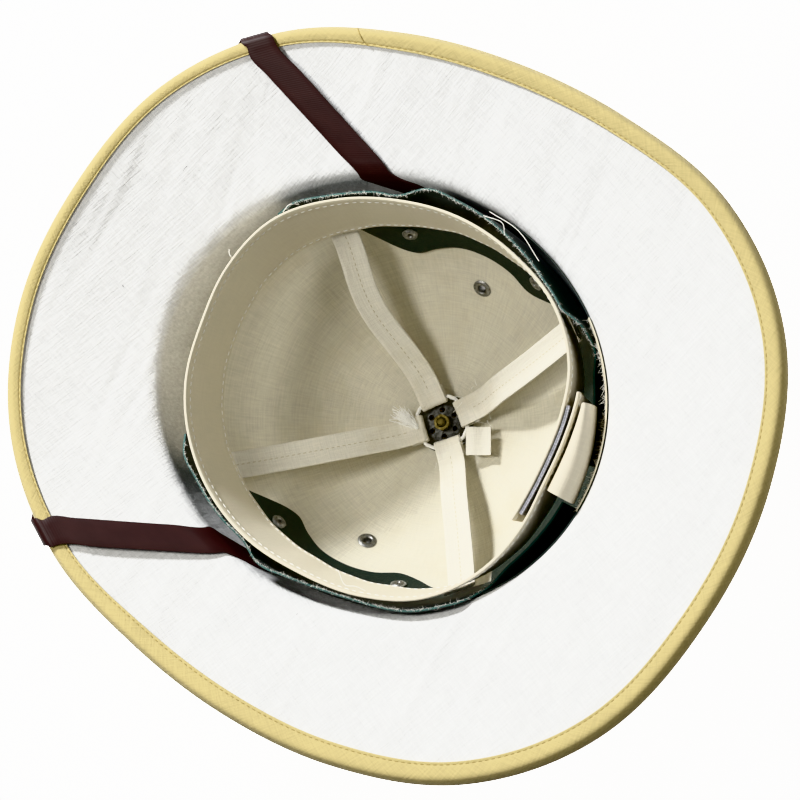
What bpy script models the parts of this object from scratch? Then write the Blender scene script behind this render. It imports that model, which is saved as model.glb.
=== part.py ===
"""Pith helmet, lying on its crown with the opening up.

Metres, +Z up. The origin is the middle of the ventilator cap's flat top, which the helmet lies on,
and +Z runs from there through the middle of the crown to the opening. -Y points to the front of
the helmet and +Y to its back. Left and right are the wearer's: left is -X, because the helmet is
upside down. Azimuths are in degrees about Z: 0 is +X, the right side, 90 the back, 180 the left
side and 270 the front.

Every cloth and pith layer is an offset of one surface, the face of the linings that the wearer
sees: a positive offset goes into the wall, a negative one into the hollow or above the brim.
"""
import bpy
import bmesh
import numpy as np
from mathutils import Vector

MM = 0.001

# ---------------------------------------------------------------- driving sizes, in millimetres
OPENING_HEIGHT = 120.0      # plane of the crown's opening above the cap's flat top
OPENING_HALF_WIDTH = 93.3   # half-axis of the opening across the head
OPENING_HALF_LENGTH = 102.8  # half-axis of the opening from front to back
OPENING_SHIFT = -3.4        # middle of the opening, forward of the crown's middle
CROWN_DEPTH = 104.0         # depth of the crown's hollow below the opening plane
CROWN_FULLNESS = 2.1        # exponent of the dome's curve: 2 is an ellipse
ROLL_REACH = 9.0            # the opening's edge rolls over within this distance of its corner
BRIM_SAG = 0.25             # share of the brim's drop that grows with the square of its width

CLOTH = 1.0                 # lining, binding
PITH = 3.8                  # crown and brim wall with its cover
GAP = 0.3                   # clearance between touching pieces
TURN_IN_DEPTH_DEG = 16.0    # angle on the dome where the brim's lining ends inside the crown
BINDING_OVER = 8.0          # width of the binding on the side of the brim away from the lining
RIM_BULGE = 1.0             # how far the rim's rounded end stands past its corners

VENT_HOLE_RADIUS = 13.0
CAP_RADIUS = 22.0
CAP_FLAT_RADIUS = 17.0
CAP_WALL = 1.4
CAP_HEIGHT = 12.0
DISC_RADIUS = 9.2
DISC_SKIRT_RADIUS = 13.6
DISC_TOP = 21.2
DISC_SHEET = 1.0
PERFORATIONS = 6
PERFORATION_RADIUS = 1.3
PERFORATION_CIRCLE = 6.3
BOLT_RADIUS = 1.9
BOLT_TOP = 26.6
NUT_ACROSS_FLATS = 7.0
NUT_HEIGHT = 3.2

BAND_THICKNESS = 2.0
BAND_TOP = 126.0
BAND_BOTTOM = 85.0
TAB_REACH = (92.6, 94.8)    # how far from the crown's middle the size tab's two ends roll out
LEATHER_THICKNESS = 1.4
LEATHER_SLACK = 0.3         # more room between the leather and the crown's wall
LEATHER_TOP = 124.5
STRAP_WIDTH = 12.4
STRAP_THICKNESS = 1.0
STRAP_END_HEIGHT = 88.0     # the strap's hidden ends, behind the leather
TAPE_WIDTH = 12.6
TAPE_THICKNESS = 1.2
CORD_REACH = 10.4            # cord's distance from the middle inside a tape's loop
CORD_CORNER_REACH = 12.4    # its distance halfway between two loops
CORD_RADIUS = 0.9
RIVET_HEAD_RADIUS = 3.0
RIVET_SHANK_RADIUS = 1.5
EYELET_FLANGE_RADIUS = 4.4
EYELET_TUBE_RADIUS = 2.5
EYELET_BORE_RADIUS = 1.8
SHEET_METAL = 0.7

AROUND = 40                 # stations round the crown and the brim

# rim: azimuth (deg), reach of the rim from the crown's middle (mm), height of its lined face
# (mm), width of the binding on the lined side, short of the rim's rounded end (mm)
RIM_SECTIONS = (
    (0, 149.6, 142.0, 5.9), (20, 157.6, 142.7, 6.0), (40, 169.3, 145.2, 5.8),
    (60, 175.2, 148.4, 5.3), (80, 173.7, 150.6, 5.0), (100, 174.9, 150.7, 4.9),
    (120, 176.2, 148.5, 5.0), (140, 169.0, 145.3, 5.1), (160, 156.0, 142.7, 5.0),
    (180, 150.7, 142.0, 4.9), (200, 153.8, 142.4, 4.4), (220, 162.7, 143.3, 3.2),
    (240, 166.8, 144.3, 2.8), (260, 164.8, 144.9, 2.9), (280, 165.6, 144.9, 3.0),
    (300, 163.8, 144.3, 3.1), (320, 157.3, 143.2, 4.0), (340, 149.0, 142.3, 5.3),
)

# sweatband, from the outer end at the back round the right side, front and left to the inner end:
# azimuth (deg), radius of its edge at the opening (mm), radius of its deep edge (mm)
BAND_SECTIONS = (
    (114, 87.4, 84.6), (100, 84.0, 81.4), (86, 82.9, 80.4), (72, 85.8, 81.4), (55, 89.2, 83.0),
    (38, 89.8, 83.0), (20, 86.6, 80.6), (0, 83.8, 79.0), (-20, 85.2, 79.8), (-45, 87.4, 83.0),
    (-70, 89.0, 86.6), (-88, 88.6, 87.4), (-105, 91.4, 88.6), (-122, 92.8, 88.0),
    (-142, 88.2, 83.6), (-160, 84.5, 81.2), (-180, 83.0, 80.6), (-200, 82.8, 80.8),
    (-222, 84.8, 82.0), (-240, 83.8, 80.8), (-252, 81.0, 78.4), (-268, 78.4, 76.0),
    (-282, 79.2, 76.6), (-288, 80.4, 77.6),
)

# green leather, the same on both sides but for its edge at the opening: angle from the side
# towards the front (deg), radius of the edge at the opening left and right (mm), height of the
# deep edge, which is scalloped at the side, and of the edge at the opening (mm). Towards the back
# the leather runs on as a low strip from the crown's wall to the band.
LEATHER_SECTIONS = (
    (56, 95.4, 91.6, 114.0, 119.5), (50, 94.8, 92.4, 95.0, 124.5), (42, 92.0, 90.2, 71.0, 124.5),
    (35, 90.2, 89.2, 59.0, 124.5), (28, 89.0, 88.2, 54.5, 124.5), (20, 87.0, 86.9, 57.5, 124.5),
    (12, 91.2, 90.0, 60.5, 124.5), (3, 89.6, 88.0, 61.0, 124.5), (-8, 88.0, 87.2, 59.0, 124.5),
    (-17, 86.8, 88.4, 55.5, 124.5), (-25, 86.2, 91.0, 59.5, 124.5),
    (-32, 85.9, 93.6, 67.0, 124.5), (-42, 87.0, 95.3, 72.0, 124.5),
    (-48, 92.0, 96.0, 74.0, 122.5), (-54, 93.0, 94.0, 74.0, 113.0), (-61, 88.0, 88.0, 74.0, 107.0),
    (-70, 87.0, 86.0, 74.0, 106.0), (-84, 86.0, 85.0, 76.0, 106.0),
)
LEATHER_TURN = -50.0        # angle where the scalloped part gives way to the low strip (deg)
FRONT_RIVET = (27.8, 65.2)   # angle from the side towards the front (deg), height (mm)
BACK_RIVET = (-19.2, 65.0)
EYELET = (3.1, 42.0)

# chin strap's azimuths (deg) at its hidden end, below the roll, on top of the roll, at the rim
STRAP_LEFT = (190.0, 201.3, 207.8, 223.0)
STRAP_RIGHT = (351.5, 341.3, 334.0, 317.6)
STRAP_FOLD_STEPS = 6
FOLD_SQUARENESS = 0.72      # exponent of the turn round the rim: 1 is an ellipse
FOLD_DRIFT = 0.2            # how far the strap slips along the rim as it goes down beside it
STRAP_FRONT = -122.0        # where it passes before the crown (mm)
STRAP_SEAT = STRAP_THICKNESS / 2 + GAP  # from a face to the middle of a strap that lies on it
WALL_SLACK = 0.65           # more room behind the strap on the crown's wall (mm)
ROLL_SLACK = 1.3            # the same on the opening's rolled edge
RIM_SLACK = 0.25            # the same round the rim
BRIM_SLACK = 0.4            # the same on the side of the brim away from the lining

# tapes: name, azimuth at the band (deg), azimuth at the cord ring (deg), bow between them (deg)
TAPES = (
    ("tape_front_left", 226.0, 227.0, 5.5), ("tape_front_right", 312.0, 312.0, 0.0),
    ("tape_back_right", 43.0, 42.0, 0.0), ("tape_back_left", 138.0, 137.0, 0.0),
)
TAPE_TAIL_REACH = 17.0       # where a tape's folded end stops, from the crown's middle (mm)

# name: base colour, roughness, metallic
FINISHES = {
    "khaki_cover": ((0.46, 0.38, 0.16), 0.9, 0.0),
    "khaki_binding": ((0.66, 0.55, 0.20), 0.9, 0.0),
    "white_cotton": ((0.86, 0.86, 0.84), 0.95, 0.0),
    "cream_cotton": ((0.62, 0.57, 0.42), 0.95, 0.0),
    "band_cloth": ((0.72, 0.68, 0.58), 0.8, 0.0),
    "tape_cotton": ((0.82, 0.79, 0.68), 0.95, 0.0),
    "green_leather": ((0.012, 0.035, 0.022), 0.5, 0.0),
    "brown_strap": ((0.032, 0.014, 0.014), 0.45, 0.0),
    "grey_grip": ((0.30, 0.30, 0.34), 0.8, 0.0),
    "steel": ((0.42, 0.42, 0.43), 0.35, 1.0),
    "brass": ((0.55, 0.42, 0.16), 0.35, 1.0),
}


# ---------------------------------------------------------------- curves and the lined surface
def through(rows, column, at, period=None):
    """Smooth curve through one column of a table, whose first column is the station."""
    table = np.array(rows, float)
    table = table[np.argsort(table[:, 0])]
    x, y = table[:, 0], table[:, column]
    if period:
        x = np.concatenate([x[-2:] - period, x, x[:2] + period])
        y = np.concatenate([y[-2:], y, y[:2]])
        at = (np.asarray(at, float) - x[2]) % period + x[2]
    slope = np.gradient(y, x)
    i = np.clip(np.searchsorted(x, at, side="right") - 1, 0, len(x) - 2)
    step = x[i + 1] - x[i]
    u = (at - x[i]) / step
    rise = y[i + 1] - y[i]
    return (y[i] + rise * u * u * (3 - 2 * u)
            + step * u * (1 - u) * (slope[i] * (1 - u) - slope[i + 1] * u))


def ease(x):
    """0 below 0, 1 above 1, with a smooth step between."""
    x = np.clip(x, 0.0, 1.0)
    return x * x * (3 - 2 * x)


def opening_reach(azimuth):
    """Distance from the crown's middle to the oval opening, at an azimuth in degrees."""
    c, s = np.cos(np.radians(azimuth)), np.sin(np.radians(azimuth))
    a = (c / OPENING_HALF_WIDTH) ** 2 + (s / OPENING_HALF_LENGTH) ** 2
    b = -2 * s * OPENING_SHIFT / OPENING_HALF_LENGTH ** 2
    k = (OPENING_SHIFT / OPENING_HALF_LENGTH) ** 2 - 1
    return (-b + np.sqrt(b * b - 4 * a * k)) / (2 * a)


def dome_row(azimuth, angle_deg):
    """Radius and height on the dome: angle 0 is the opening and 90 the top of the crown."""
    t = np.radians(angle_deg)
    power = 2 / CROWN_FULLNESS
    return (opening_reach(azimuth) * np.cos(t) ** power,
            OPENING_HEIGHT - CROWN_DEPTH * np.sin(t) ** power + 0 * azimuth)


def vent_edge_angle(azimuth):
    """Angle on the dome of the round vent hole at the top of the crown."""
    share = VENT_HOLE_RADIUS / opening_reach(azimuth)
    return np.degrees(np.arccos(share ** (CROWN_FULLNESS / 2)))


def brim_row(azimuth, share):
    """Radius and height on the brim's lined face: share 0 is the opening's corner, 1 the rim."""
    inner = opening_reach(azimuth)
    reach = through(RIM_SECTIONS, 1, azimuth, 360) - CLOTH - GAP - RIM_BULGE
    drop = through(RIM_SECTIONS, 2, azimuth, 360) - OPENING_HEIGHT
    return (inner + (reach - inner) * share,
            OPENING_HEIGHT + drop * ((1 - BRIM_SAG) * share + BRIM_SAG * share ** 2))


def brim_width(azimuth):
    """Width of the brim from the opening's corner to the rim, seen from above."""
    return brim_row(azimuth, 1.0)[0] - opening_reach(azimuth)


ROLL_START_ANGLE = np.degrees(np.arcsin((ROLL_REACH / CROWN_DEPTH) ** (CROWN_FULLNESS / 2)))


def roll_row(azimuth, u):
    """Radius and height on the rolled edge of the opening, from the dome (0) to the brim (1)."""
    start = dome_row(azimuth, ROLL_START_ANGLE)
    end = brim_row(azimuth, ROLL_REACH / brim_width(azimuth))
    corner = (opening_reach(azimuth), OPENING_HEIGHT)
    return tuple((1 - u) ** 2 * start[k] + 2 * u * (1 - u) * corner[k] + u * u * end[k]
                 for k in (0, 1))


def offset_rows(rows, distance):
    """Rows of (radius, height), moved into the wall across the section's own direction."""
    points = np.array([np.stack(row, axis=-1) for row in rows], float)
    step = np.diff(points, axis=0)
    length = np.linalg.norm(step, axis=-1, keepdims=True)
    heading = step / length
    inner = (heading[:-1] * length[1:] + heading[1:] * length[:-1]) / (length[:-1] + length[1:])
    heading = np.concatenate([heading[:1], inner, heading[-1:]])
    heading /= np.linalg.norm(heading, axis=-1, keepdims=True)
    return (points[..., 0] + distance * heading[..., 1],
            points[..., 1] - distance * heading[..., 0])


def at_azimuth(azimuth, radius, height):
    """Points in space for azimuths in degrees, radii and heights."""
    a, radius, height = np.broadcast_arrays(np.radians(azimuth), radius, height)
    return np.stack([radius * np.cos(a), radius * np.sin(a), height], axis=-1)


# ---------------------------------------------------------------- meshes
def finish(name, material):
    """The material of one finish, made the first time it is asked for."""
    made = bpy.data.materials.get(name)
    if made is None:
        made = bpy.data.materials.new(name)
        made.use_nodes = True
        shader = made.node_tree.nodes["Principled BSDF"]
        colour, roughness, metallic = material
        shader.inputs["Base Color"].default_value = (*colour, 1)
        shader.inputs["Roughness"].default_value = roughness
        shader.inputs["Metallic"].default_value = metallic
    return made


def add_solid(name, vertices, faces, finish_name, sharp_deg=35.0):
    """One closed mesh object from points in millimetres."""
    mesh = bpy.data.meshes.new(name)
    mesh.from_pydata((np.asarray(vertices) * MM).tolist(), [], faces)
    edit = bmesh.new()
    edit.from_mesh(mesh)
    bmesh.ops.recalc_face_normals(edit, faces=edit.faces)
    edit.to_mesh(mesh)
    edit.free()
    mesh.shade_smooth()
    mesh.set_sharp_from_angle(angle=np.radians(sharp_deg))
    mesh.materials.append(finish(finish_name, FINISHES[finish_name]))
    solid = bpy.data.objects.new(name, mesh)
    bpy.context.scene.collection.objects.link(solid)
    return solid


def carried(name, sections, finish_name, closed, sharp_deg=35.0):
    """A section carried along a path: sections[i, k] is corner k of the closed section at i.

    Each quad is halved the same way on both sides of a wall, so nested walls stay parallel.
    """
    stations, corners, _ = sections.shape
    faces = []
    for i in range(stations if closed else stations - 1):
        j = (i + 1) % stations
        for k in range(corners):
            m = (k + 1) % corners
            a, b, c, d = (i * corners + k, j * corners + k, j * corners + m, i * corners + m)
            if k < corners // 2:
                faces += [(a, b, c), (a, c, d)]
            else:
                faces += [(a, b, d), (b, c, d)]
    if not closed:
        last = (stations - 1) * corners
        faces.append(tuple(range(corners)))
        faces.append(tuple(range(last + corners - 1, last - 1, -1)))
    return add_solid(name, sections.reshape(-1, 3), faces, finish_name, sharp_deg)


def turned(name, profile, finish_name, sides, centre=(0, 0, 0), axis=(0, 0, 1), start_deg=0.0):
    """A closed profile of (radius, height) turned round an axis. Radius 0 is a single point."""
    turn = Vector((0, 0, 1)).rotation_difference(Vector(axis)).to_matrix()
    vertices, rings, faces = [], [], []
    for radius, height in profile:
        count = sides if radius > 0 else 1
        rings.append(range(len(vertices), len(vertices) + count))
        for i in range(count):
            a = 2 * np.pi * i / sides + np.radians(start_deg)
            point = turn @ Vector((radius * np.cos(a), radius * np.sin(a), height))
            vertices.append(tuple(point + Vector(centre)))
    for low, high in zip(rings, rings[1:] + rings[:1]):
        if len(low) == 1 and len(high) == 1:
            continue
        for i in range(sides):
            j = (i + 1) % sides
            corners = [low[i % len(low)], low[j % len(low)], high[j % len(high)],
                       high[i % len(high)]]
            faces.append(tuple(dict.fromkeys(corners)))
    return add_solid(name, vertices, faces, finish_name)


def wall_ring(name, rows, part, near_offset, far_offset, finish_name, rounded_end=0.0):
    """A ring of wall between two offsets of one part of the rows, its end rounded if asked."""
    azimuth = np.arange(AROUND) * 360.0 / AROUND
    near_r, near_z = (a[part] for a in offset_rows([row(azimuth) for row in rows], near_offset))
    far_r, far_z = (a[part] for a in offset_rows([row(azimuth) for row in rows], far_offset))
    radii, heights = list(near_r), list(near_z)
    if rounded_end:
        out_r, out_z = near_r[-1] - near_r[-2], near_z[-1] - near_z[-2]
        length = np.hypot(out_r, out_z)
        radii.append((near_r[-1] + far_r[-1]) / 2 + rounded_end * out_r / length)
        heights.append((near_z[-1] + far_z[-1]) / 2 + rounded_end * out_z / length)
    radii += list(far_r[::-1])
    heights += list(far_z[::-1])
    sections = np.stack([at_azimuth(azimuth, r, z) for r, z in zip(radii, heights)], axis=1)
    return carried(name, sections, finish_name, closed=True)


def unit(vectors):
    """Vectors of length 1 in the same directions."""
    return vectors / np.linalg.norm(vectors, axis=-1, keepdims=True)


def ribbon(name, points, normals, width, thickness, finish_name, laid_along=None):
    """A flat strap whose middle runs through the points, its flat side facing the normals.

    Its sections are square to its way, or lie along the given directions where those have
    length 1, as a strap that crosses an edge at a slant is folded along the edge.
    """
    points = np.asarray(points, float)
    along = unit(np.gradient(points, axis=0))
    across = unit(np.cross(along, np.asarray(normals, float)))
    if laid_along is not None:
        laid = np.asarray(laid_along, float)
        share = np.linalg.norm(laid, axis=1, keepdims=True)
        same_way = np.sign(np.sum(laid * across, axis=1, keepdims=True))
        across = unit((1 - share) * across + same_way * laid)
    slant = np.sum(across * along, axis=1, keepdims=True)
    side = across * width / 2 / np.sqrt(1 - slant ** 2)
    lift = unit(np.cross(across, along)) * thickness / 2
    corners = np.stack([points - side - lift, points + side - lift, points + side + lift,
                        points - side + lift], axis=1)
    return carried(name, corners, finish_name, closed=False)


def smooth_path(points, steps):
    """A smooth curve through points, with a number of steps between each two."""
    points = np.asarray(points, float)
    stations = np.arange(len(points), dtype=float)
    at = np.linspace(0, len(points) - 1, (len(points) - 1) * steps + 1)
    columns = [through(np.column_stack([stations, points[:, k]]), 1, at)
               for k in range(points.shape[1])]
    return np.stack(columns, axis=1)


# ---------------------------------------------------------------- crown, brim and their cloth
def dome(angle_deg):
    return lambda azimuth: dome_row(azimuth, angle_deg)


def roll(u):
    return lambda azimuth: roll_row(azimuth, u)


def brim(share):
    return lambda azimuth: brim_row(azimuth, share)


def vent_edge(azimuth):
    return dome_row(azimuth, vent_edge_angle(azimuth))


SPLIT_DEG = 0.3             # step on the dome that is left open where two rings meet
DOME_ROWS = [vent_edge, dome(67), dome(51), dome(36), dome(22)]
BRIM_ROWS = [dome(ROLL_START_ANGLE), roll(0.35), roll(0.7), roll(1.0), brim(0.45), brim(0.76),
             brim(1.0)]
PITH_ROWS = DOME_ROWS + [dome(TURN_IN_DEPTH_DEG), dome(ROLL_START_ANGLE + SPLIT_DEG)] + BRIM_ROWS
CLOTH_ROWS = (DOME_ROWS + [dome(TURN_IN_DEPTH_DEG + SPLIT_DEG), dome(TURN_IN_DEPTH_DEG)]
              + BRIM_ROWS)


def lined_reach(azimuth, height):
    """Distance from the crown's middle to the flat facets of the lining, at a height."""
    rows = [row(azimuth) for row in CLOTH_ROWS]
    flat = np.cos(np.pi / AROUND)
    return flat * np.interp(height, [z for _, z in rows], [r for r, _ in rows])


def lined_spot(azimuth, height):
    """Point on the lining and the direction out through the wall."""
    step = 2.0
    point = at_azimuth(azimuth, lined_reach(azimuth, height), height)
    spread = (lined_reach(azimuth, height + step) - lined_reach(azimuth, height - step)) / (2 * step)
    out = at_azimuth(azimuth, 1.0, -spread)
    return point, out / np.linalg.norm(out)


def crown_and_brim():
    """The two pith shells, which meet at the foot of the crown, and the cloth inside them."""
    inside, outside = CLOTH + GAP, CLOTH + GAP + PITH
    foot = len(DOME_ROWS) + 2
    hem = len(DOME_ROWS) + 1
    wall_ring("crown", PITH_ROWS, slice(None, foot), inside, outside, "khaki_cover")
    wall_ring("brim", PITH_ROWS, slice(foot, None), inside, outside, "khaki_cover",
              rounded_end=RIM_BULGE)
    wall_ring("crown_lining", CLOTH_ROWS, slice(None, hem), 0.0, CLOTH, "cream_cotton")
    wall_ring("brim_lining", CLOTH_ROWS, slice(hem, None), 0.0, CLOTH, "white_cotton")


def brim_binding():
    """Bias binding folded round the rim, its section worked out beside the brim's end."""
    azimuth = np.arange(AROUND) * 360.0 / AROUND
    width = brim_width(azimuth)
    lap = through(RIM_SECTIONS, 3, azimuth, 360)
    under = [brim_row(azimuth, 1 - lap / width), brim_row(azimuth, 1.0)]
    over = [brim_row(azimuth, 1 - BINDING_OVER / width), brim_row(azimuth, 1.0)]
    near, far = -GAP, CLOTH + GAP + PITH + GAP
    out_r, out_z = (under[1][k] - under[0][k] for k in (0, 1))
    length = np.hypot(out_r, out_z)
    out_r, out_z = out_r / length, out_z / length

    def skin(extra):
        """Rows of the binding's skin, moved out from the brim by an extra distance."""
        r1, z1 = offset_rows(under, near - extra)
        r2, z2 = offset_rows(over, far + extra)
        rows = list(zip(r1, z1))
        for share, bulge in ((0.12, 0.7), (0.5, 1.0), (0.88, 0.7)):
            reach = bulge * (RIM_BULGE + GAP + extra)
            rows.append((r1[-1] + (r2[-1] - r1[-1]) * share + reach * out_r,
                         z1[-1] + (z2[-1] - z1[-1]) * share + reach * out_z))
        return rows + list(zip(r2[::-1], z2[::-1]))

    rows = skin(CLOTH) + skin(0.0)[::-1]
    sections = np.stack([at_azimuth(azimuth, r, z) for r, z in rows], axis=1)
    carried("brim_binding", sections, "khaki_binding", closed=True)


# ---------------------------------------------------------------- ventilator at the crown's top
def ventilator():
    """Cap outside, perforated disc inside, and the bolt and nut that draw them together."""
    inner = CAP_RADIUS - CAP_WALL
    turned("vent_cap", [
        (0, 0), (CAP_FLAT_RADIUS, 0), (20.4, 1.3), (CAP_RADIUS, 4.6), (CAP_RADIUS, CAP_HEIGHT),
        (inner, CAP_HEIGHT), (inner, 5.2), (19.0, 2.5), (16.2, CAP_WALL), (0, CAP_WALL)],
        "khaki_cover", sides=28)
    bore = BOLT_RADIUS + GAP
    disc = turned("vent_disc", [
        (bore, DISC_TOP), (DISC_RADIUS - 0.5, DISC_TOP), (DISC_RADIUS, DISC_TOP - 0.6),
        (DISC_SKIRT_RADIUS, 18.2), (DISC_SKIRT_RADIUS, 17.5), (DISC_SKIRT_RADIUS - 1.0, 17.5),
        (DISC_RADIUS - 1.0, DISC_TOP - DISC_SHEET), (bore, DISC_TOP - DISC_SHEET)],
        "steel", sides=20)
    punch = joined_cutter("perforation_cutter", [
        ((PERFORATION_CIRCLE * np.cos(a), PERFORATION_CIRCLE * np.sin(a), DISC_TOP - 3),
         (0, 0, 1), PERFORATION_RADIUS, 6.0, 8)
        for a in 2 * np.pi * (np.arange(PERFORATIONS) + 0.5) / PERFORATIONS])
    cut(disc, punch)
    head = CAP_WALL + GAP
    turned("vent_bolt", [
        (0, head), (3.6, head), (3.6, head + 2.4), (BOLT_RADIUS, head + 2.4),
        (BOLT_RADIUS, BOLT_TOP - 0.5), (BOLT_RADIUS - 0.5, BOLT_TOP), (0, BOLT_TOP)],
        "brass", sides=10)
    flat = NUT_ACROSS_FLATS / 2
    corner = flat / np.cos(np.pi / 6)
    seat = DISC_TOP + GAP
    top = seat + NUT_HEIGHT
    bore /= np.cos(np.pi / 6)
    turned("vent_nut", [
        (bore, seat), (corner, seat), (corner, top - 0.4), (flat, top), (bore, top)],
        "brass", sides=6)


# ---------------------------------------------------------------- holes
def joined_cutter(name, drills):
    """One hidden object of separate drills: each is foot, direction, radius, length, sides."""
    vertices, faces = [], []
    for foot, direction, radius, length, sides in drills:
        turn = Vector((0, 0, 1)).rotation_difference(Vector(direction)).to_matrix()
        base = len(vertices)
        for height in (0.0, length):
            for i in range(sides):
                a = 2 * np.pi * i / sides
                point = turn @ Vector((radius * np.cos(a), radius * np.sin(a), height))
                vertices.append(tuple(point + Vector(foot)))
        faces.append(tuple(range(base, base + sides)))
        faces.append(tuple(range(base + sides, base + 2 * sides)))
        for i in range(sides):
            j = (i + 1) % sides
            faces.append((base + i, base + j, base + sides + j, base + sides + i))
    cutter = add_solid(name, vertices, faces, "steel")
    cutter.hide_render = True
    cutter.display_type = "WIRE"
    return cutter


def cut(solid, cutter):
    """Takes the cutter out of a solid."""
    modifier = solid.modifiers.new("holes", "BOOLEAN")
    modifier.operation = "DIFFERENCE"
    modifier.solver = "EXACT"
    modifier.object = cutter


def side_azimuth(side, angle):
    """Azimuth of an angle that is counted from the wearer's left or right towards the front."""
    return 180.0 + angle if side == "left" else -angle


def fasteners():
    """Rivets through the leather and eyelets through the crown. Returns the drill for them."""
    drills = []
    thickness = CLOTH + GAP + PITH
    for side in ("left", "right"):
        for place, (angle, height) in (("front", FRONT_RIVET), ("back", BACK_RIVET)):
            at, out = lined_spot(side_azimuth(side, angle), height)
            head = -(leather_clearance(angle, height) + LEATHER_THICKNESS / 2 + GAP + 0.35)
            far = thickness + GAP + 0.2
            shank, flange = RIVET_SHANK_RADIUS, RIVET_HEAD_RADIUS
            turned(f"rivet_{place}_{side}", [
                (0, head - 0.1), (0.9, head - 0.1), (1.4, head - 0.8), (flange - 0.5, head - 0.8),
                (flange, head), (shank, head), (shank, far), (flange, far),
                (flange - 0.4, far + SHEET_METAL), (0, far + SHEET_METAL)],
                "steel", sides=8, centre=at, axis=out)
            drills.append((at - 7 * out, out, shank + GAP + 0.1, 16.0, 8))
        at, out = lined_spot(side_azimuth(side, EYELET[0]), EYELET[1])
        near, far = -(GAP + 0.2), thickness + GAP + 0.1
        bore, tube, flange = EYELET_BORE_RADIUS, EYELET_TUBE_RADIUS, EYELET_FLANGE_RADIUS
        turned(f"eyelet_{side}", [
            (bore, near - 0.2), (2.4, near - SHEET_METAL), (3.8, near - SHEET_METAL), (flange, near),
            (tube, near), (tube, far), (flange, far), (bore, far + SHEET_METAL)],
            "steel", sides=10, centre=at, axis=out)
        drills.append((at - 3 * out, out, tube + GAP + 0.1, 12.0, 10))
    return joined_cutter("hole_cutter", drills)


# ---------------------------------------------------------------- sweatband
def band_radius(azimuth, height):
    """Radius of the middle of the sweatband's thickness."""
    near = through(BAND_SECTIONS, 1, azimuth)
    deep = through(BAND_SECTIONS, 2, azimuth)
    return deep + (near - deep) * (height - BAND_BOTTOM) / (BAND_TOP - BAND_BOTTOM)


def band_outer_radius(azimuth, height):
    """Outermost radius of the sweatband at an azimuth, over all its turns."""
    first, last = BAND_SECTIONS[-1][0], BAND_SECTIONS[0][0]
    reaches = [band_radius(azimuth + turn, height) for turn in (-720, -360, 0, 360)
               if first <= azimuth + turn <= last]
    return np.max(reaches, axis=0) + BAND_THICKNESS / 2


def sweatband():
    """The band as one strip that passes itself at the back, with a folded edge at the opening."""
    azimuth = np.linspace(BAND_SECTIONS[0][0], BAND_SECTIONS[-1][0], 50)
    half = BAND_THICKNESS / 2
    corners = ((BAND_BOTTOM, -half), (BAND_TOP - 0.7, -half), (BAND_TOP, -0.4 * half),
               (BAND_TOP, 0.4 * half), (BAND_TOP - 0.7, half), (BAND_BOTTOM, half))
    sections = np.stack([at_azimuth(azimuth, band_radius(azimuth, height) + out, height)
                         for height, out in corners], axis=1)
    carried("sweatband", sections, "band_cloth", closed=False)


def band_trim():
    """The grey grip strip between the band's ends, and the tab rolled outwards at its end."""
    azimuth = np.linspace(-250.0, -285.0, 9)
    inner = BAND_THICKNESS / 2 + GAP
    corners = ((BAND_BOTTOM + 6, inner), (BAND_TOP - 0.6, inner), (BAND_TOP - 0.6, inner + 1.3),
               (BAND_BOTTOM + 6, inner + 1.3))
    sections = np.stack([at_azimuth(azimuth, band_radius(azimuth, height) + out, height)
                         for height, out in corners], axis=1)
    carried("grip_strip", sections, "grey_grip", closed=False)

    azimuth = np.linspace(111.0, 85.0, 8)
    foot = BAND_THICKNESS / 2 + GAP
    hook = ((0.0, 112.0), (0.1, 121.0), (2.0, 125.2), (5.0, 125.8), (7.8, 123.2), (9.2, 118.0),
            (9.0, 112.0))
    thickness = 1.4
    middle = np.array(hook)
    along = np.gradient(middle, axis=0)
    along /= np.linalg.norm(along, axis=1, keepdims=True)
    across = np.column_stack([-along[:, 1], along[:, 0]]) * thickness / 2
    section = np.concatenate([middle + across, (middle - across)[::-1]])
    start = band_radius(azimuth, BAND_TOP) + foot + thickness / 2
    roll_out = (np.linspace(*TAB_REACH, len(azimuth)) - start) / hook[-2][0]
    sections = np.stack([at_azimuth(azimuth, start + roll_out * out, height)
                         for out, height in section], axis=1)
    carried("size_tab", sections, "band_cloth", closed=False)


# ---------------------------------------------------------------- leather
def leather_clearance(angle, height):
    """From the lining to the middle of the leather: wider where the strap runs behind it."""
    over_strap = ease((angle + 2.0) / 6.0) * ease((38.0 - angle) / 8.0)
    over_strap = over_strap * ease((height - 72.0) / 10.0)
    strap_room = STRAP_THICKNESS + GAP + 1.0
    return GAP + LEATHER_THICKNESS / 2 + LEATHER_SLACK + strap_room * over_strap


def leather_radius(side, angle, height):
    """Radius of the middle of the leather, from its own edge down to the crown's wall."""
    azimuth = side_azimuth(side, angle)
    edge = through(LEATHER_SECTIONS, 1 if side == "left" else 2, angle)
    wall = []
    for level in height:
        point, out = lined_spot(azimuth, level)
        room = leather_clearance(angle, level) + GAP * ease((level - 98.0) / 10.0)
        wall.append(np.hypot(point[0], point[1]) - room / np.hypot(out[0], out[1]))
    wall = np.array(wall)
    lean = ease((height - 78.0) / (LEATHER_TOP - 78.0))
    band = band_outer_radius(azimuth, height) + GAP + LEATHER_THICKNESS / 2
    return np.maximum(np.minimum(wall + (edge - wall) * lean, wall), np.minimum(band, wall))


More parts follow.
